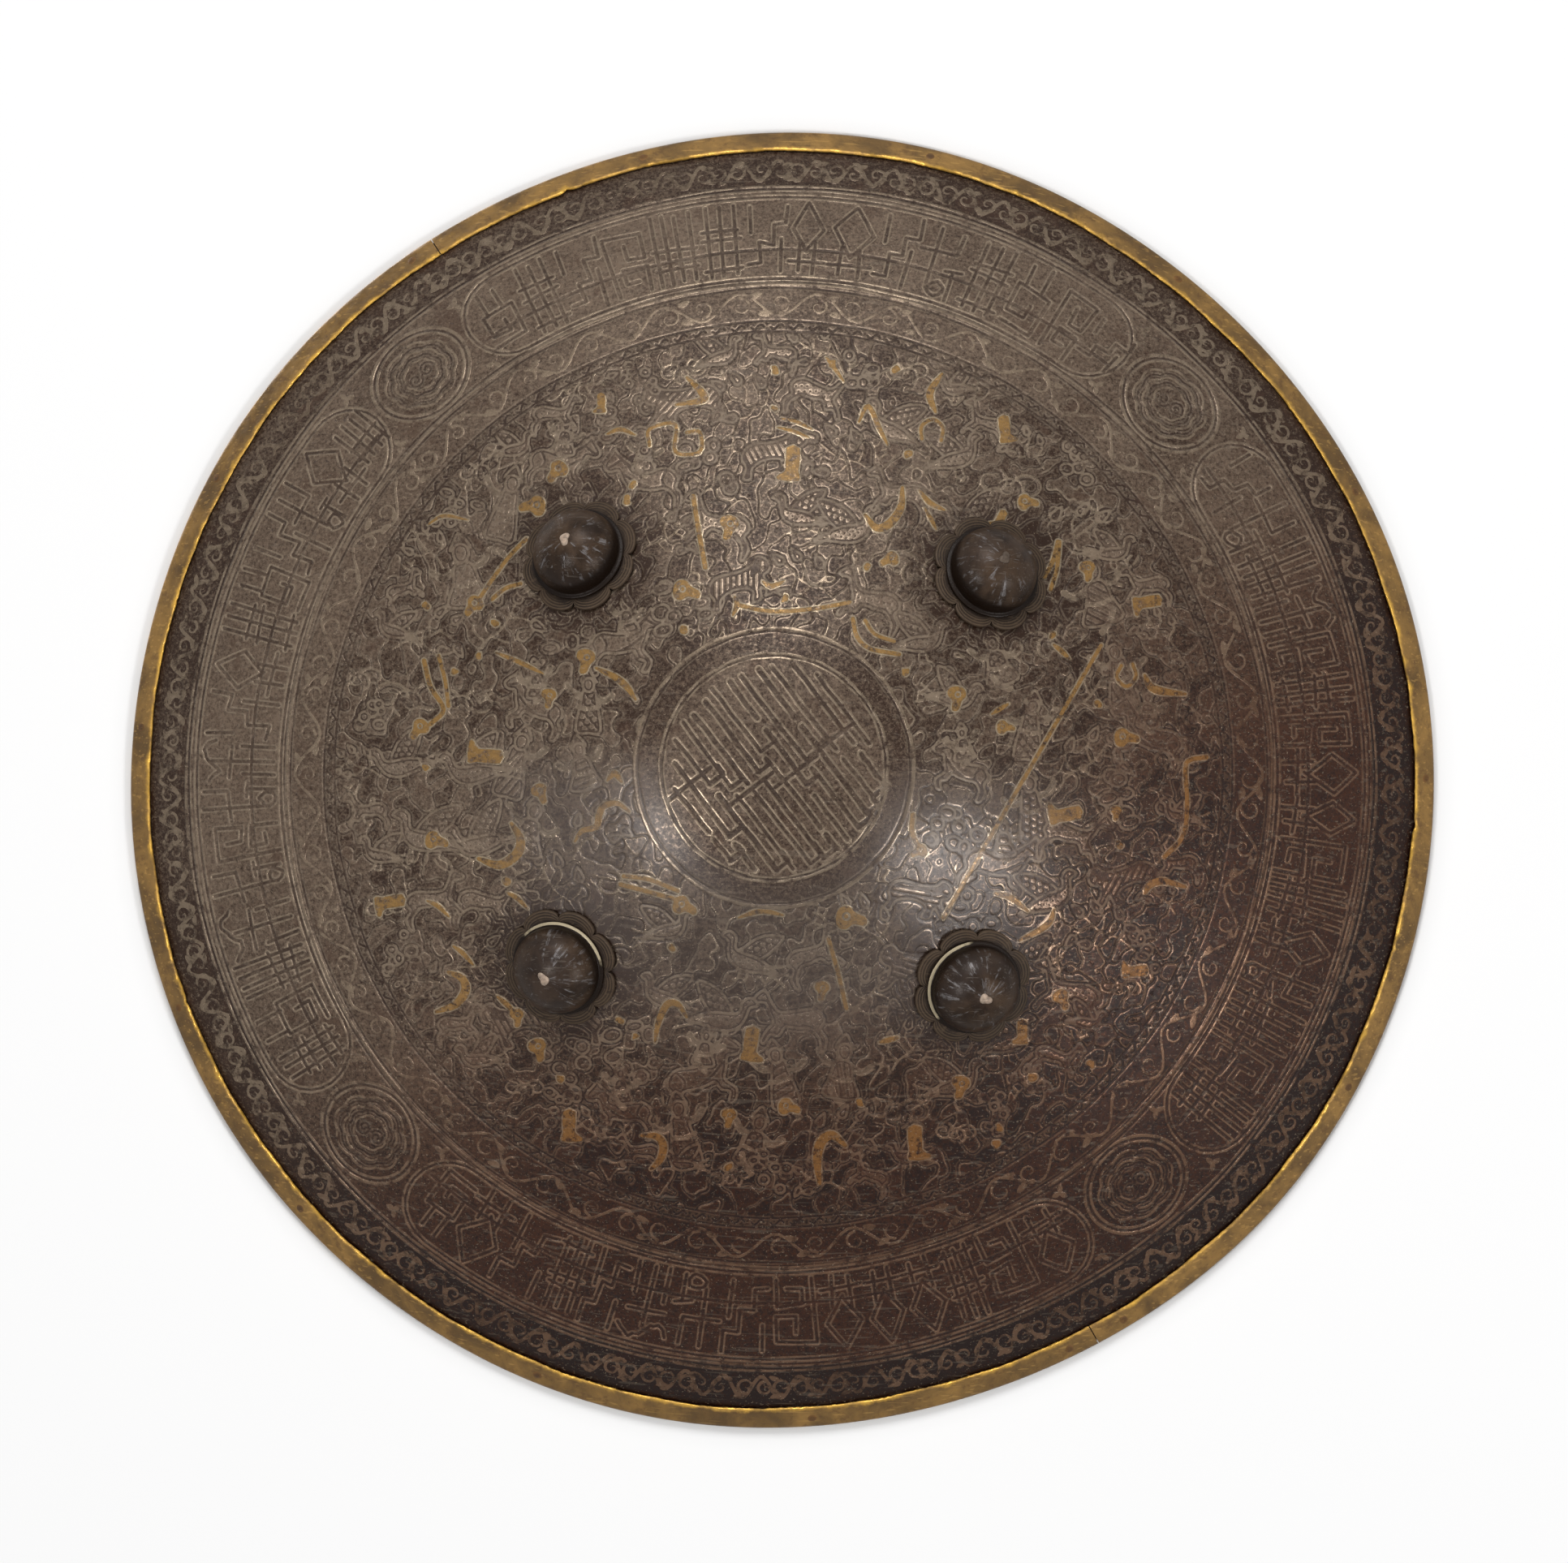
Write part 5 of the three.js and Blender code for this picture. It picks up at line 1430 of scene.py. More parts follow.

# %% [markdown]
# A boss is a raised iron cap with a thin flange, burnished dark. Hands have polished it, so it is the glossiest thing
# on the shield, with scratches. Painted shade darkens its foot and the side turned to the crown, most on the upper
# bosses, and the flange of each lower one carries a painted highlight: a pale crescent on the side facing the middle.

# %% Bosses
cap_iron = Finish("burnished boss")
spokes_and_shade = cap_iron.stored("spokes_and_shade")
metal = cap_iron.use(old_metal, Grain_Scale=1300.0, Blotch_Scale=85.0, Scratch_Scale=34.0)
cap_iron.start(metal["Blotch"].between(0.34, 0.66), (38, 27, 19), (74, 58, 45))
cap_iron.lay(cap_iron.noise(35.0, 4.0, 0.6).between(0.45, 0.62, 0.0, 0.5), 56, 47, 43)
streak = spokes_and_shade["Vector"].noise(5.0, 5.0, 0.75).between(0.53, 0.62)
cap_iron.lay(streak * cap_iron.noise(260.0, 3.0, 0.6).between(0.46, 0.58) * 0.6, 140, 136, 136)
cap_iron.lay(metal["Scratches"] * 0.2, 126, 116, 106)
cap_iron.lay(cap_iron.noise(420.0, 4.0, 0.7).between(0.58, 0.7) * 0.6, 42, 31, 25)
# Painted shade: darker round the foot of the boss and on its side turned to the crown, from the fourth number kept on
# the mesh.
cap_iron.lay(spokes_and_shade["Alpha"].between(0.15, 0.8), 25, 16, 10)
# Painted highlight: a pale crescent on the flange of each lower boss, on the side that faces the middle.
uneven = cap_iron.stored("rubbed")["Fac"] + (cap_iron.noise(300.0, 4.0, 0.6) - 0.5) * 0.9
cap_iron.lay(uneven.between(0.42, 0.8), 178, 164, 136)
cap_iron.bump(metal["Grain"] + metal["Scratches"] * -0.8, 0.00012, 0.5)
cap_iron.feed(Metallic=0.1, Specular_IOR_Level=0.11, Roughness=metal["Blotch"].between(0.25, 0.75, 0.28, 0.42))

CAP_ANGLES = np.linspace(0, math.pi / 2, 15)[1:-1][::-1]
BOSS_PROFILE = np.array([
    (0, 16.6), *rounded(CAP_ANGLES, 15, 12.4) + (0, 4.2), (15.0, 4.2), (15.02, 3.7), (15.25, 3.42), (15.7, 3.32),
    (16.1, 3.28), (16.42, 3.1), (16.5, 2.7), (16.42, 2.1), (16.2, 2.0), (13.7, 2.02), (13.7, 4.2), (12.4, 8.5),
    (8.0, 12.9), (3.0, 15.1), (0, 15.3)])
BOSS_SIDES = 72
out, up = BOSS_PROFILE[1:-1, :1], BOSS_PROFILE[1:-1, 1:]
turn = full_turn(BOSS_SIDES)[None]
for name, azimuth_deg in BOSSES.items():
    mesh = turned(f"boss_{name}_raised", azimuth_deg, BOSS_PROFILE, BOSS_SIDES, 45)
    lower = name.startswith("lower")
    # Painted highlight on the flanges of the lower bosses, on the side that faces the middle.
    rubbed = ((out > 15.6) & (up > 2.9)) * np.clip(-np.cos(turn - 0.5) * 2.0 - 0.4, 0, 0.95) * lower
    set_values(mesh, "rubbed", np.concatenate([rubbed.ravel(), [0, 0]]))
    # Painted shade: darker towards the foot, and on the side turned to the crown, most on the upper bosses.
    crown_side_shade = np.clip(-np.cos(turn), 0, 1) * np.clip((15 - up) / 10, 0, 1)
    low = np.clip(np.clip((10 - up) / 8, 0, 1) + crown_side_shade * (0.25 if lower else 0.85), 0, 1)
    spokes_and_shade = np.stack(np.broadcast_arrays(np.cos(turn), np.sin(turn), out / 60, low), -1)
    set_values(mesh, "spokes_and_shade", np.concatenate([spokes_and_shade.reshape(-1, 4), [(0, 0, 0, 0), (0, 0, 0, 1)]]))
    piece(mesh, cap_iron, "shell", "boss_steel", f"boss_{name}")
print("bosses raised")

# %% [markdown]
# The stud runs from a small burr, peened over the crown of the boss, down through everything to an eye inside. Shank
# and eye are two closed forms joined in one mesh. A ring of round wire hangs in each eye.

# %% Studs and rings
EYE_OFFSET = -13.2
EYE_RADIUS, EYE_WIRE, EYE_HOLE = 5.2, 3.6, 3.4
RING_WIRE, RING_RADIUS, HANG_GAP = 3.8, 13.0, 0.3
STUD_PROFILE = np.array([(0, 17.3), (1.0, 17.28), (1.7, 17.15), (2.2, 16.85), (2.35, 16.6), (2.2, 16.45), (2.05, 16.4),
                         (2.1, -3), (2.1, -8.4), (1.5, -9.2), (0, -9.6)])
HEAD_ABOVE_EYE = 25


def wire_ring(name, centre, radius, wire, across, up, sides=14, steps=56):
    """A round wire bent round: centre + radius * (cos t * across + sin t * up)."""
    turn = full_turn(steps)[:, None]
    path = centre + radius * (np.cos(turn) * across + np.sin(turn) * up)
    points = tube_points(path, wire / 2, sides, closed=True, up=np.cross(across, up))
    return grid_mesh(name, points, wrap_rows=True, sharp=80)


eyes = {name: on_axis(azimuth_deg, EYE_OFFSET) for name, azimuth_deg in BOSSES.items()}
twist = full_turn(24)
for name, azimuth_deg in BOSSES.items():
    lobes_of_burr = 0.16 * np.sin(2 * twist + azimuth_deg) + 0.12 * np.sin(3 * twist) - 0.2
    burr = 1 + (STUD_PROFILE[1:-1, 1:] > 16) * lobes_of_burr
    shank = turned("shank", azimuth_deg, STUD_PROFILE, 24, 50, burr)
    mesh = joined(f"stud_{name}_forged", [shank, wire_ring("eye", eyes[name], EYE_RADIUS, EYE_WIRE, X, Z)])
    piece(mesh, forged_iron, "shell", "forged_iron", f"stud_{name}")
    mesh.materials.append((dull_stud if name == "upper_right" else stud_iron).material)
    heights = np.array([p.center[2] for p in mesh.polygons]) / MM
    mesh.polygons.foreach_set("material_index", (heights > eyes[name][2] + HEAD_ABOVE_EYE).astype(np.int32))

hinge_z = eyes["upper_right"][2] - EYE_HOLE + HANG_GAP + RING_WIRE / 2
for name in BOSSES:
    centre = np.array([*eyes[name][:2], hinge_z - RING_RADIUS])
    mesh = wire_ring(f"ring_{name}_bent", centre, RING_RADIUS, RING_WIRE, Y, Z, 16, 72)
    piece(mesh, forged_iron, f"ring_{name}", "forged_iron", f"ring_{name}")
print("hinge height", round(float(hinge_z), 2))

# %% [markdown]
# ## The grips
# Each grip is a roll of leather stuffed with cord, thick in the middle, with a tab at each end that is folded round
# its ring. It hangs in a flattened U. A seam runs along the side away from the plate, and cross folds show where the
# hand has squeezed it.

# %% Group: leather, and the grips' material
leather_grain, given, place, result = new_group(
    "leather grain", {"Cell Scale": 900.0, "Fold Scale": 60.0}, "Cells", "Folds")
wall = give(leather_grain, "ShaderNodeTexVoronoi", "Distance", {"Vector": place, "Scale": given["Cell Scale"]},
            feature="DISTANCE_TO_EDGE")
set_inputs(result, {"Cells": wall.between(0.0, 0.22), "Folds": place.noise(given["Fold Scale"], 5.0, 0.6, 0.8)})

leather = Finish("grip leather")
grain = leather.use(leather_grain, Cell_Scale=800.0, Fold_Scale=70.0)
wear = leather.use(edge_wear, Width=0.08, Break_Up=0.6, Break_Scale=150.0)["Wear"]
leather.start(grain["Folds"].between(0.3, 0.7), (62, 36, 24), (112, 70, 44))
leather.lay((1.0 - grain["Cells"]) * 0.5, 44, 26, 18)
leather.lay(wear * 0.5, 150, 104, 70)
leather.bump(grain["Cells"] * 0.6 + grain["Folds"], 0.0003, 0.7)
leather.feed(Roughness=grain["Folds"].between(0.2, 0.8, 0.42, 0.68))

thread = Finish("waxed thread")
fibre = thread.noise(2400.0, 2.0, 0.6)
thread.start(fibre, (150, 126, 88), (196, 172, 130))
thread.bump(fibre, 0.0001, 0.5)
thread.feed(Roughness=0.75)

# %% Grips
EYE_Y = float(abs(eyes["upper_right"][1]))
RING_FOOT = hinge_z - 2 * RING_RADIUS
TAB_HALF, TAB_HOLE, TAB_OUTER, TAB_FOOT, TAB_FOOT_HALF = 3.5, 2.8, 4.4, -7.3, 3.4
WIRE_CLIMB = RING_RADIUS - math.sqrt(RING_RADIUS ** 2 - TAB_HALF ** 2)
TAB_CENTRE = RING_FOOT + RING_WIRE / 2 + WIRE_CLIMB + HANG_GAP - TAB_HOLE
ROLL_TOP = TAB_CENTRE - TAB_HOLE - 1.6 - 3.0
ROLL_DROP, ROLL_POINTS, ROLL_SIDES, TAB_SIDES = 13, 150, 36, 48
GRIP_STITCHES = 40


def roll_path(turn):
    """Half a flattened round: y = eye * sign(cos) * |cos| ^ (2 / 2.6), z = top - 13 * sin ^ (2 / 2.6)."""
    across = np.sign(np.cos(turn)) * np.abs(np.cos(turn)) ** (2 / 2.6)
    return np.stack([0 * turn, EYE_Y * across, ROLL_TOP - ROLL_DROP * np.abs(np.sin(turn)) ** (2 / 2.6)], -1)


def even_steps(points, count, **options):
    """The same curve with its points an equal way apart, and their shares of its length."""
    run = np.concatenate([[0], np.cumsum(np.linalg.norm(np.diff(points, axis=0), axis=1))])
    want = np.linspace(0, run[-1], count, **options)
    return np.stack([np.interp(want, run, points[:, k]) for k in range(3)], -1), want / run[-1]


def stitch(path, up):
    """One stitch of thread along a path of a few points."""
    return grid_mesh("stitch", tube_points(path, 0.32, 5, up=up), first_pole=path[0], last_pole=path[-1])


def tab(x, y):
    """A folded tab round the lower part of a ring: an outline with a flat foot, and the bore in it."""
    turn = full_turn(TAB_SIDES) + math.pi / 2
    out, hole = (rounded(turn, radius, radius) for radius in (TAB_OUTER, TAB_HOLE))
    low = np.sin(turn) < -0.55
    wide = out[low, 0]
    out[low] = np.stack([np.clip(wide * 1.1, -TAB_FOOT_HALF, TAB_FOOT_HALF), TAB_FOOT + 0.25 * np.abs(wide)], -1)
    rounding = [(-3.5, 0.25), (-3.3, 0.06), (-3.0, 0.0), (0, 0.0), (3.0, 0.0), (3.3, 0.06), (3.5, 0.25)]
    rows = [(level, out * (1 - inset / TAB_OUTER)) for level, inset in rounding]
    rows += [(level, hole) for level in (TAB_HALF, 0.0, -TAB_HALF)]
    points = [np.stack([x + row[:, 0], np.full(TAB_SIDES, y + level), TAB_CENTRE + row[:, 1]], -1)
              for level, row in rows]
    return grid_mesh("tab", np.array(points), wrap_rows=True, sharp=50)


def grip_meshes(side, x):
    """The leather of a grip, a swelling roll with a seam and folds between two tabs, and the stitches of its seam."""
    path, part = even_steps(roll_path(np.linspace(0, math.pi, 400)), ROLL_POINTS)
    path = path + (x, 0, 0)
    swell = np.sin(math.pi * part)[:, None] ** 1.1
    radii = (7 + 7.6 * swell) / 2
    turn = full_turn(ROLL_SIDES)
    folds = 0.10 * np.sin(part * 130 + 1.5 * np.sin(part * 17))[:, None] * (1 + 0.6 * np.cos(turn)) * swell
    seam = 0.45 * np.exp(-((turn - 1.5 * math.pi) / 0.16) ** 2) * np.clip(swell * 3, 0, 1)
    ring = tube_points(path, 1.0, ROLL_SIDES) - path[:, None]
    points = path[:, None] + ring * (radii - 0.1 + folds - seam)[..., None]
    roll = grid_mesh(f"roll_{side}", points, first_pole=path[0], last_pole=path[-1], sharp=70)
    stitches = []
    bow = np.linspace(0, math.pi, 5)[:, None]
    for k in range(GRIP_STITCHES):
        at = int((0.1 + 0.8 * k / (GRIP_STITCHES - 1)) * (ROLL_POINTS - 1))
        ahead_of = unit(path[at + 1] - path[at])
        down = np.cross(X, ahead_of)
        down = down if down[2] < 0 else -down
        middle = path[at] + down * (radii[at] - 0.35)
        stitches.append(stitch(middle + np.cos(bow) * (1.3 * X + 0.5 * ahead_of) + np.sin(bow) * down * 0.35, ahead_of))
    leather_parts = [roll, *(tab(x, y) for y in (EYE_Y, -EYE_Y))]
    return joined(f"grip_{side}_leather", leather_parts), joined(f"grip_{side}_stitches", stitches)


for side in ("right", "left"):
    hide, sewing = grip_meshes(side, float(eyes[f"upper_{side}"][0]))
    piece(hide, leather, f"grip_{side}", "grip_leather", f"grip_{side}")
    piece(sewing, thread, f"grip_{side}", "grip_leather")
    print(hide.name, "points", len(hide.vertices))

# %% [markdown]
# ## The lining
# A quilted cotton cloth covers the hollow. It is a real sheet: cut round, eased into the bowl and stitched through in
# diamonds, so that the wadding stands up between the stitch lines. The plate side is smooth. The hand side rises by
# the product of two rounded waves, one for each direction of stitching, and the rim of the cloth is a turned hem.

# %% Group: weave, and the lining's material
weave, given, place, result = new_group("weave", {"Thread Scale": 900.0}, "Threads")
spacing = given["Thread Scale"] * 6.283
warp, weft = ((place.split()[axis] * spacing).math("SINE") for axis in "XY")
set_inputs(result, {"Threads": (warp * weft * 0.5 + 0.5) * 0.6 + place.noise(1400.0, 3.0, 0.7) * 0.4})

QUILT, STITCH_PITCH = 27.0, 0.0036
cotton = Finish("quilted cotton")
threads = cotton.use(weave, Thread_Scale=850.0)["Threads"]
split = cotton.place.split()
lines = []
for way in (1.0, -1.0):
    across = split["Y"].math("MULTIPLY_ADD", way, split["X"]) * (1 / (QUILT * MM * math.sqrt(2)))
    along = split["Y"].math("MULTIPLY_ADD", -way, split["X"]) * (1 / (STITCH_PITCH * math.sqrt(2)))
    lines.append(off_centre(across + 0.5).between(0.028, 0.014) * off_centre(along).between(0.34, 0.30))
sewn = most(*lines)
faded = cotton.noise(16.0, 5.0, 0.6, 0.5)
cotton.start(faded.between(0.3, 0.7), (96, 44, 36), (140, 76, 58))
cotton.lay(threads * 0.35, 170, 112, 88)
cotton.lay(cotton.noise(45.0, 5.0, 0.7).between(0.55, 0.7) * 0.4, 70, 42, 34)
# Painted shade in the valleys of the quilting, along the stitch lines.
cotton.lay(cotton.stored("painted_quilt_shade")["Fac"].between(0.15, 0.75, 0.0, 0.55), 58, 28, 24)
cotton.lay(sewn, 196, 172, 132)
cotton.bump(threads + sewn * 1.2, 0.0003, 0.8)
cotton.feed(Roughness=faded.between(0.0, 1.0, 0.86, 0.94), Sheen_Weight=0.25)

# %% Lining
LINING_INSET, FIRST_CLOTH_RING, BESIDE_CUT = 9.8, 0.8, 1.2
LINING_EDGE = EDGE_RADIUS - LINING_INSET * math.cos(EDGE_SLOPE)
CLOTH_BACK, CLOTH_FRONT, CLOTH_MIDDLE, BACK_ROWS = -1.72, -2.0, -2.9, 10
HEM_WIDE, CLOTH_PITCH, PITCH_RADIUS = 8, 1.65, 150
runs = run_at(np.array([FIRST_CLOTH_RING, LINING_EDGE]))
rows = int((runs[1] - runs[0]) / CLOTH_PITCH)
radius, azimuth = bow_grid(runs, rows, int(2 * math.pi * PITCH_RADIUS / CLOTH_PITCH))
x, y = radius * np.cos(azimuth), radius * np.sin(azimuth)
waves = np.sin(math.pi * (x + y) / QUILT / math.sqrt(2)) * np.sin(math.pi * (x - y) / QUILT / math.sqrt(2))
from_hem = LINING_EDGE - HEM_WIDE - radius
puff = np.abs(waves) ** 0.45 * np.clip(from_hem / 3, 0, 1) + np.clip(-from_hem / 2, 0, 1)
hem = np.clip((LINING_EDGE - radius) / BESIDE_CUT, 0, 1) ** 0.5
hem_line = np.exp(-(from_hem / 0.8) ** 2)
crumple = 0.12 * np.sin(0.21 * x + 0.13 * y + np.sin(0.05 * y)) + 0.08 * np.sin(0.33 * y - 0.17 * x)
hand_side = on_bow(radius, azimuth, CLOTH_FRONT - (1.25 * puff + crumple * puff - 0.3 * hem_line) * hem)
plate_side = on_bow(radius[::-1][:: rows // BACK_ROWS], azimuth, CLOTH_BACK)
mesh = grid_mesh("quilted_lining", np.concatenate([plate_side[::-1], hand_side[::-1]]),
                 first_pole=crown_point(CLOTH_BACK), last_pole=crown_point(CLOTH_MIDDLE), sharp=75)
# How deep each point lies in a valley of the quilting, kept for painted shade.
painted_quilt_shade = np.concatenate([np.zeros(plate_side[..., 0].size), (1 - puff[::-1]).ravel(), [0, 0]])
set_values(mesh, "painted_quilt_shade", painted_quilt_shade)
lining = piece(mesh, cotton, "shell", "lining_cloth", "lining")
across = 2 * float(runs[1]) * MM

# %% [markdown]
# ## The knuckle cushion
# The hand that holds both grips would knock against the plate, so a velvet pad stuffed with wool sits between. Its
# sides draw in between the corners and two lines of stitching cross it from corner to corner. The pad starts as a
# slack form a little smaller than its space. Cloth simulation then blows it up, with its back held to the lining,
# and the stitched channels are drawn in afterwards, because a remesh would have closed them.

# %% Material: worn velvet
velvet = Finish("worn velvet")
nap = velvet.noise(1900.0, 3.0, 0.7)
brushed = velvet.noise(70.0, 4.0, 0.6, 1.2)
velvet.start(brushed.between(0.35, 0.65), (84, 22, 28), (124, 42, 44))
velvet.lay(nap * 0.4, 60, 14, 20)
velvet.lay(velvet.noise(120.0, 6.0, 0.7).between(0.58, 0.72) * 0.5, 142, 88, 70)
velvet.bump(nap + brushed, 0.0004, 0.7)
velvet.feed(Roughness=nap.between(0.0, 1.0, 0.8, 0.95), Sheen_Weight=0.6, Sheen_Roughness=0.4)

# %% Cushion: slack form
PAD_HALF, PAD_DRAW, PAD_THICK, PAD_GRID = 52.0, 5.0, 18.0, 33
PAD_BACK, PAD_REST = -3.6, -3.45
SLACK_SCALE, SLACK_WALL, SLACK_RISE, HELD_DEPTH = 0.955, 2.0, PAD_THICK - 6.5, 1.2


def pad_plan(across, up, scale):
    """Plan of the pad from two numbers in -1..1: each side is drawn in by 5 mm * (1 - square of the way along)."""
    draw = PAD_DRAW / PAD_HALF
    x = PAD_HALF * across * (1 - draw * (1 - up ** 2)) * scale
    y = PAD_HALF * up * (1 - draw * (1 - across ** 2)) * scale
    return x, y


def lining_height(x, y, offset):
    """Height of a surface at an offset from the plate's face, straight above a place: bow + offset / cos(slope)."""
    radius = np.hypot(x, y)
    return height_at(radius) + offset / np.cos(slope_at(radius))


def slack_pad():
    """A closed grid: the back on the lining and the front below it by thick * root of (1 - u^4)(1 - v^4)."""
    across, up = np.meshgrid(*[np.linspace(-1, 1, PAD_GRID)] * 2, indexing="ij")
    x, y = pad_plan(across, up, SLACK_SCALE)
    back = lining_height(x, y, PAD_BACK)
    front = back - SLACK_WALL - SLACK_RISE * np.sqrt((1 - across ** 4) * (1 - up ** 4))
    number = np.arange(x.size).reshape(x.shape)
    quads = np.stack([number[:-1, :-1], number[1:, :-1], number[1:, 1:], number[:-1, 1:]], -1).reshape(-1, 4)
    border = np.concatenate([number[:-1, 0], number[-1, :-1], number[:0:-1, -1], number[0, :0:-1]])
    following = np.roll(border, -1)
    wall = np.stack([border + x.size, following + x.size, following, border], -1)
    places = np.stack([[x, y, back], [x, y, front]]).transpose(0, 2, 3, 1).reshape(-1, 3)
    return polygon_mesh("slack_pad", places, np.concatenate([quads[:, ::-1], quads + x.size, wall]),
                        np.zeros((0, 3), int), 180)


def places_of(mesh):
    """The points of a mesh in millimetres."""
    flat = np.empty(len(mesh.vertices) * 3, np.float32)
    mesh.vertices.foreach_get("co", flat)
    return flat.reshape(-1, 3).astype(float) / MM


def frozen(thing):
    """The mesh of an object with its modifiers, as a new mesh."""
    bpy.context.view_layer.update()
    return bpy.data.meshes.new_from_object(thing.evaluated_get(bpy.context.evaluated_depsgraph_get()))


# %% Cushion: blown up by cloth simulation
SWELL_STEPS, MOST_SWELL, PAD_REACH = 20, 7.0, 50.2
pad = put_in_scene("pad_in_work", slack_pad())
remesh = pad.modifiers.new("even", "REMESH")
remesh.mode, remesh.voxel_size = "VOXEL", 0.004
mesh = frozen(pad)
pad.modifiers.clear()
pad.data = mesh
start = places_of(mesh)
held = start[:, 2] > lining_height(start[:, 0], start[:, 1], PAD_BACK) - HELD_DEPTH
group = pad.vertex_groups.new(name="held")
group.add(np.flatnonzero(held).tolist(), 1.0, "REPLACE")
swollen = start.copy()
cloth = pad.modifiers.new("Cloth", "CLOTH")
cloth.settings.use_pressure = True
cloth.settings.uniform_pressure_force = 4.0
cloth.settings.effector_weights.gravity = 0.0
cloth.settings.vertex_group_mass = "held"
cloth.point_cache.frame_start, cloth.point_cache.frame_end = 1, SWELL_STEPS
for step in range(1, SWELL_STEPS + 1):
    bpy.context.scene.frame_set(step)
swollen = places_of(frozen(pad))
bpy.context.scene.frame_set(1)
pad.modifiers.clear()
moved = swollen - start
far = np.linalg.norm(moved, axis=1, keepdims=True)
swollen = start + moved * np.minimum(1, MOST_SWELL / np.maximum(far, 1e-9))
swollen[:, :2] = np.clip(swollen[:, :2], -PAD_REACH, PAD_REACH)
move_points(pad.data, swollen)
smoother = pad.modifiers.new("smooth", "SMOOTH")
smoother.factor, smoother.iterations = 0.5, 3
finer = pad.modifiers.new("finer", "SUBSURF")
finer.levels = finer.render_levels = 2
mesh = frozen(pad)
bpy.data.objects.remove(pad)

# %% Cushion: channels
CHANNEL_DEEP, CHANNEL_WIDE, SADDLE_WIDE, PUCKER_WIDE, PUCKER_DEEP, CHANNEL_BACK = 4.6, 1.9, 6, 9, 0.35, -3.5
skin = places_of(mesh)
x, y = skin[:, 0], skin[:, 1]
depth = lining_height(x, y, CHANNEL_BACK) - skin[:, 2]
front = np.clip(depth / 6, 0, 1)
for way in (1, -1):
    away = (x - way * y) / math.sqrt(2)
    line = np.exp(-(away / CHANNEL_WIDE) ** 2) + 0.35 * np.exp(-(away / SADDLE_WIDE) ** 2)
    wave = 1 + 0.18 * np.sin((x + way * y) * 0.9)
    skin[:, 2] += CHANNEL_DEEP * line * wave * front * np.clip(depth / 12, 0, 1)
near = np.exp(-(np.minimum(np.abs(x - y), np.abs(x + y)) / PUCKER_WIDE) ** 2)
skin[:, 2] += PUCKER_DEEP * (near * np.sin((x * np.sign(y) + y * np.sign(x)) * 0.75)) * front
skin[:, 2] = np.clip(skin[:, 2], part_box("knuckle_cushion")[0][2] / MM + 0.1, lining_height(x, y, PAD_REST))
move_points(mesh, skin)
mesh.polygons.foreach_set("use_smooth", np.ones(len(mesh.polygons), bool))
mesh.name = "velvet_cushion"
mesh.materials.clear()
cushion = piece(mesh, velvet, "shell", "cushion_velvet", "knuckle_cushion")
print("cushion points", len(mesh.vertices), "lowest", round(float(skin[:, 2].min()), 2))

# %% Cushion: stitches in the channels and a twisted cord round it
CORD_POINTS, CORD_TWISTS, CORD_BELOW, STRAND_OUT, STRAND_THICK = 900, 90, 1.5, 0.65, 0.72
CORD_REACH, CORD_SCALE = 0.985, 0.968
pad_faces = BVHTree.FromPolygons([v.co[:] for v in mesh.vertices], [p.vertices[:] for p in mesh.polygons])
part = np.linspace(-1, 1, 5)[:, None]
stitches = []
for way in (1, -1):
    for at in np.arange(-40, 40.1, 4.0):
        found = pad_faces.ray_cast(Vector((at * MM, way * at * MM, 0.0)), Vector((0, 0, 1)))[0]
        if found is not None:
            along = np.array([1, way, 0]) / math.sqrt(2)
            middle = np.array([at, way * at, found[2] / MM])
            path = middle + part * along * 1.35 + (part ** 2 * 0.7 - 0.35) * Z
            stitches.append(stitch(path, (0.3, 0.2, 1.0)))
sewing = joined("cushion_stitches", stitches)
piece(sewing, thread, "shell", "cushion_velvet")

corner = np.linspace(-1, 1, 60)[:-1]
one = np.ones(len(corner))
across, up = np.concatenate([corner, one, -corner, -one]), np.concatenate([-one, corner, one, -corner])
x, y = pad_plan(across * CORD_REACH, up * CORD_REACH, CORD_SCALE)
outline = np.stack([x, y, lining_height(x, y, PAD_REST) - CORD_BELOW], -1)
line, part = even_steps(looped(outline), CORD_POINTS, endpoint=False)
along = unit(np.roll(line, -1, axis=0) - np.roll(line, 1, axis=0))
side = unit(np.cross(along, Z))
strands = []
for k in range(2):
    twist = (part * 2 * math.pi * CORD_TWISTS + k * math.pi)[:, None]
    path = line + STRAND_OUT * (np.cos(twist) * side + np.sin(twist) * np.cross(side, along))
    points = tube_points(path, STRAND_THICK, 7, closed=True, up=Z)
    strands.append(grid_mesh("strand", points, wrap_rows=True, sharp=80))
cording = joined("cushion_cord", strands)
piece(cording, thread, "shell", "cushion_velvet")
print("stitches", len(stitches), "cord points", len(cording.vertices))

# %% [markdown]
# ## Floor and light
# The shield was photographed on white. The floor is pale and lit, and it adds a little light of its own to what the
# camera or a reflection sees, so that it reads as white while the shield's shadow stays. It darkens close to the
# rim, where little light gets in. Far from the shield it turns plain white, for the lamps don't reach so far. From
# underneath, sight and light pass through it, so that the hollow side with its grips can be looked at too. The world
# gives a little light from all sides. Three soft lamps shape the bow: one wide lamp from the top, and two smaller
# ones whose reflections make the soft patches beside the centre medallion. A fourth stands underneath and only
# reaches the hollow side.

# %% Floor
WHITE = (1.0, 1.0, 1.0, 1.0)
FLOOR_HALF, FLOOR_DOWN = 3, -0.0004


def light_paths(tree):
    """Which kind of ray is asking, and 1 for what the camera, a reflection or a look through glass sees."""
    rays = named(add(tree, "ShaderNodeLightPath"))
    return rays, most(rays["Is Camera Ray"], rays["Is Glossy Ray"], rays["Is Transmission Ray"])


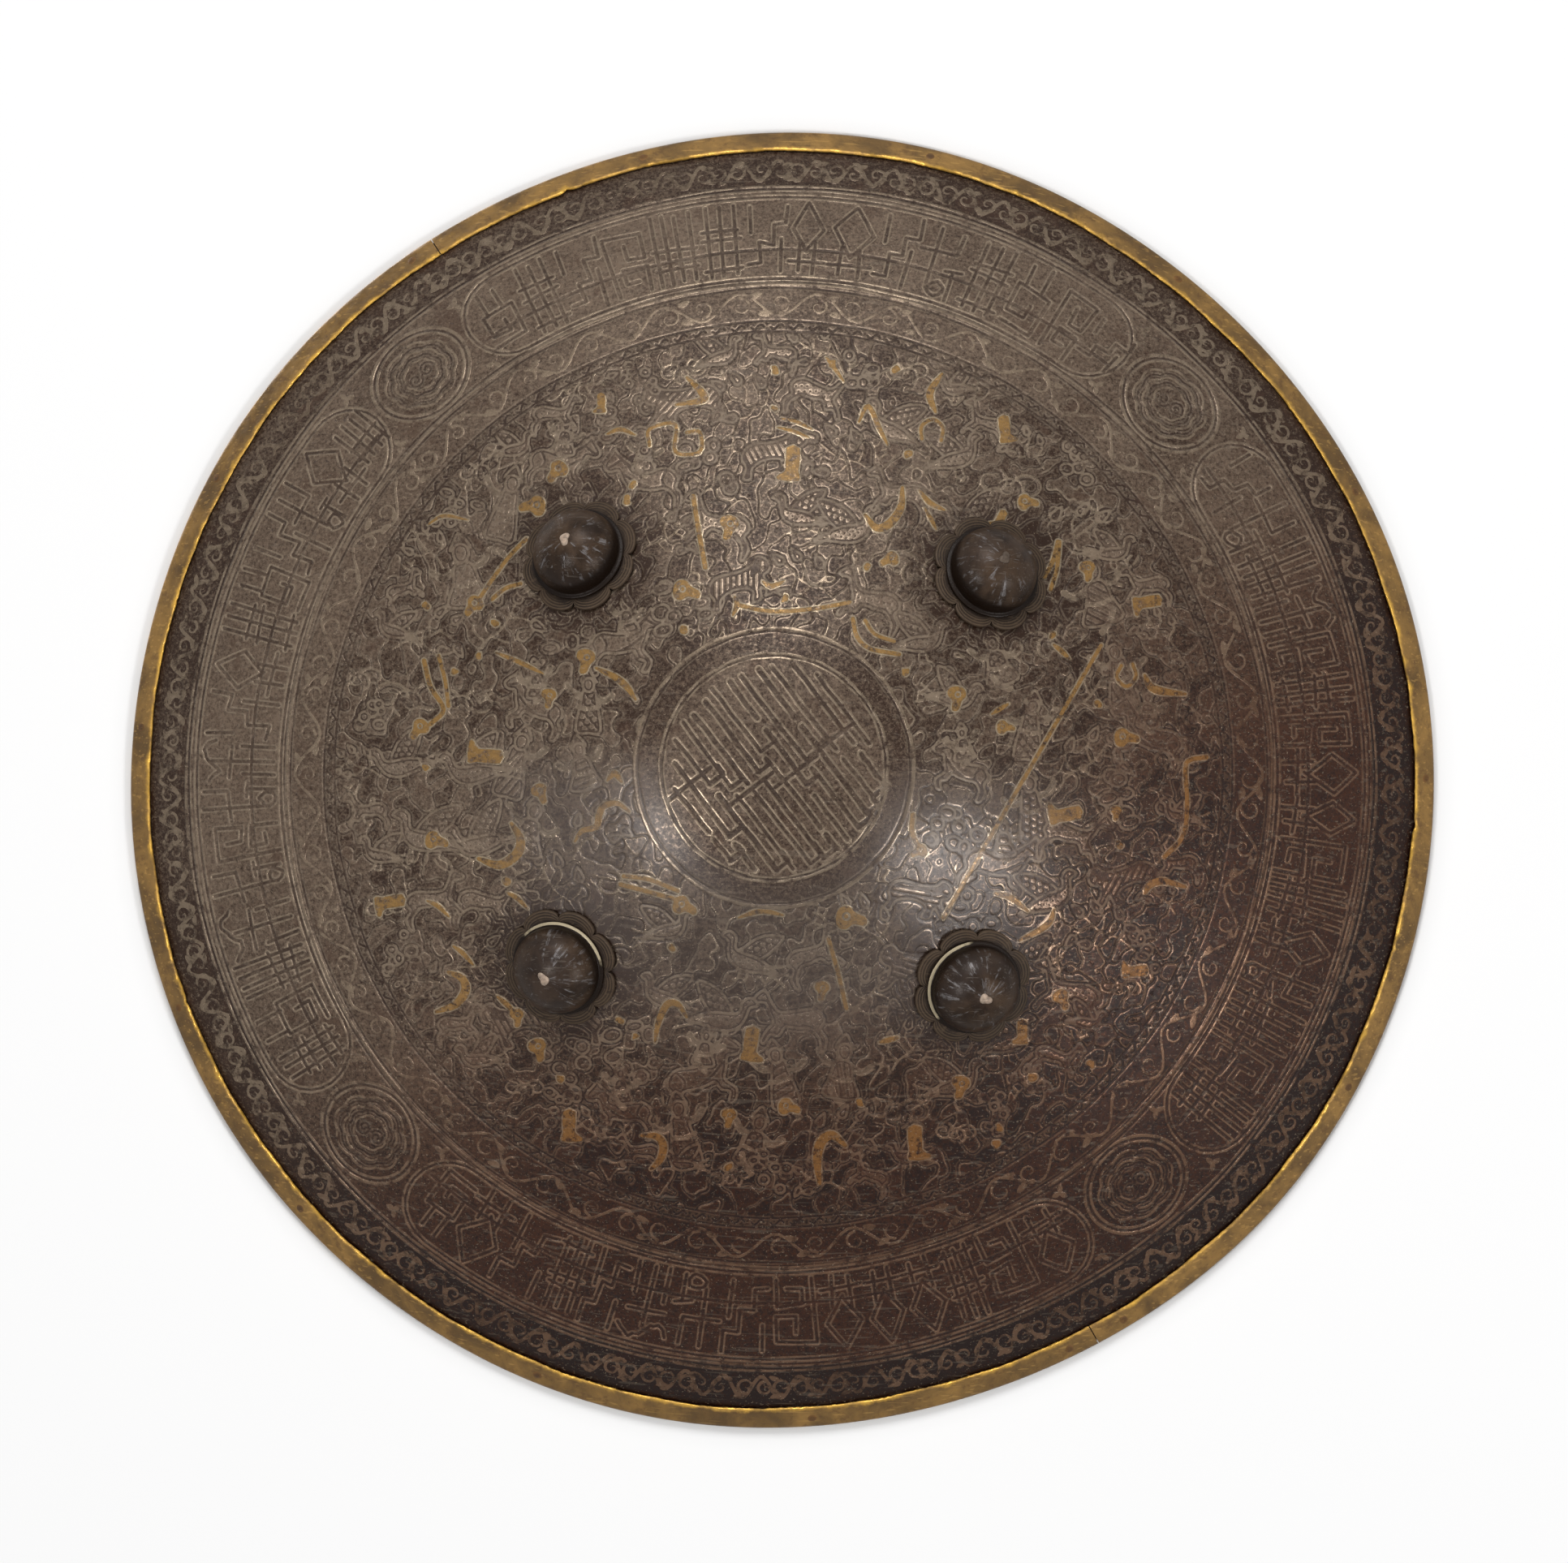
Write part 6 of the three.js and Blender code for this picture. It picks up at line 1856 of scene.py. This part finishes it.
corners = [(x * FLOOR_HALF, y * FLOOR_HALF, FLOOR_DOWN) for x, y in ((-1, -1), (1, -1), (1, 1), (-1, 1))]
floor_mesh = bpy.data.meshes.new("floor")
floor_mesh.from_pydata(corners, [], [(0, 1, 2, 3)])
put_in_scene("floor", floor_mesh)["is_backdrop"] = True
paper = Finish("white paper")
rays, looked_at = light_paths(paper.tree)
near = give(paper.tree, "ShaderNodeAmbientOcclusion", "AO", {"Distance": 0.009}, samples=8)
paper.colour = colour(236, 236, 236)
paper.feed(Roughness=0.9, Specular_IOR_Level=0.0, Emission_Color=WHITE,
           Emission_Strength=looked_at * near.between(0.5, 1.0, 0.0, 0.21, soft=False))
behind = give(paper.tree, "ShaderNodeNewGeometry", "Backfacing")
plain = give(paper.tree, "ShaderNodeEmission", 0, {"Color": WHITE, "Strength": 1.0})
sweep = give(paper.tree, "ShaderNodeMixShader", 0, {
    0: paper.place.vector("LENGTH").between(0.42, 0.9), 1: Output(paper.shader.outputs[0]), 2: plain})
either = give(paper.tree, "ShaderNodeMixShader", 0, {
    0: most(rays["Is Diffuse Ray"], rays["Is Shadow Ray"], behind), 1: sweep,
    2: give(paper.tree, "ShaderNodeBsdfTransparent", 0)})
set_inputs(paper.tree.nodes["Material Output"], {"Surface": either})
floor_mesh.materials.append(paper.material)

# %% World and lamps
world = bpy.data.worlds.new("studio")
bpy.context.scene.world = world
world.use_nodes = True
_, looked_at = light_paths(world.node_tree)
set_inputs(world.node_tree.nodes["Background"], {
    "Color": WHITE, "Strength": looked_at.math("MULTIPLY_ADD", 0.91, 0.09)})


def lamp(name, across, upward, away, size, power):
    """A soft square lamp in the camera's own directions (mm right, up, above the crown), turned to the crown."""
    light = bpy.data.lights.new(name, "AREA")
    light.size, light.energy = size, power
    spot = (photo_right * across + photo_up * upward + Vector((0, 0, away + CROWN_HEIGHT))) * MM
    towards = (spot - Vector((0, 0, CROWN_HEIGHT * MM))).normalized()
    thing = put_in_scene(name, light)
    thing.matrix_world = Matrix.Translation(spot) @ towards.to_track_quat("Z", "Y").to_matrix().to_4x4()


lamp("wide_top", -60, 1800, 1870, 1.0, 36.0)
lamp("left_glow", -930, -440, 1800, 0.45, 14.0)
lamp("right_glow", 1350, -700, 1500, 0.45, 15.0)
lamp("underneath", -1000, 1000, -1250, 0.9, 42.0)
bpy.context.scene.view_settings.view_transform = "Standard"

# %% [markdown]
# ## Last measures
# The bounds of the dressed shield, without the floor, are measured. The dressed shield
# has to stay inside the box of the solids.

# %% Measure
low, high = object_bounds()
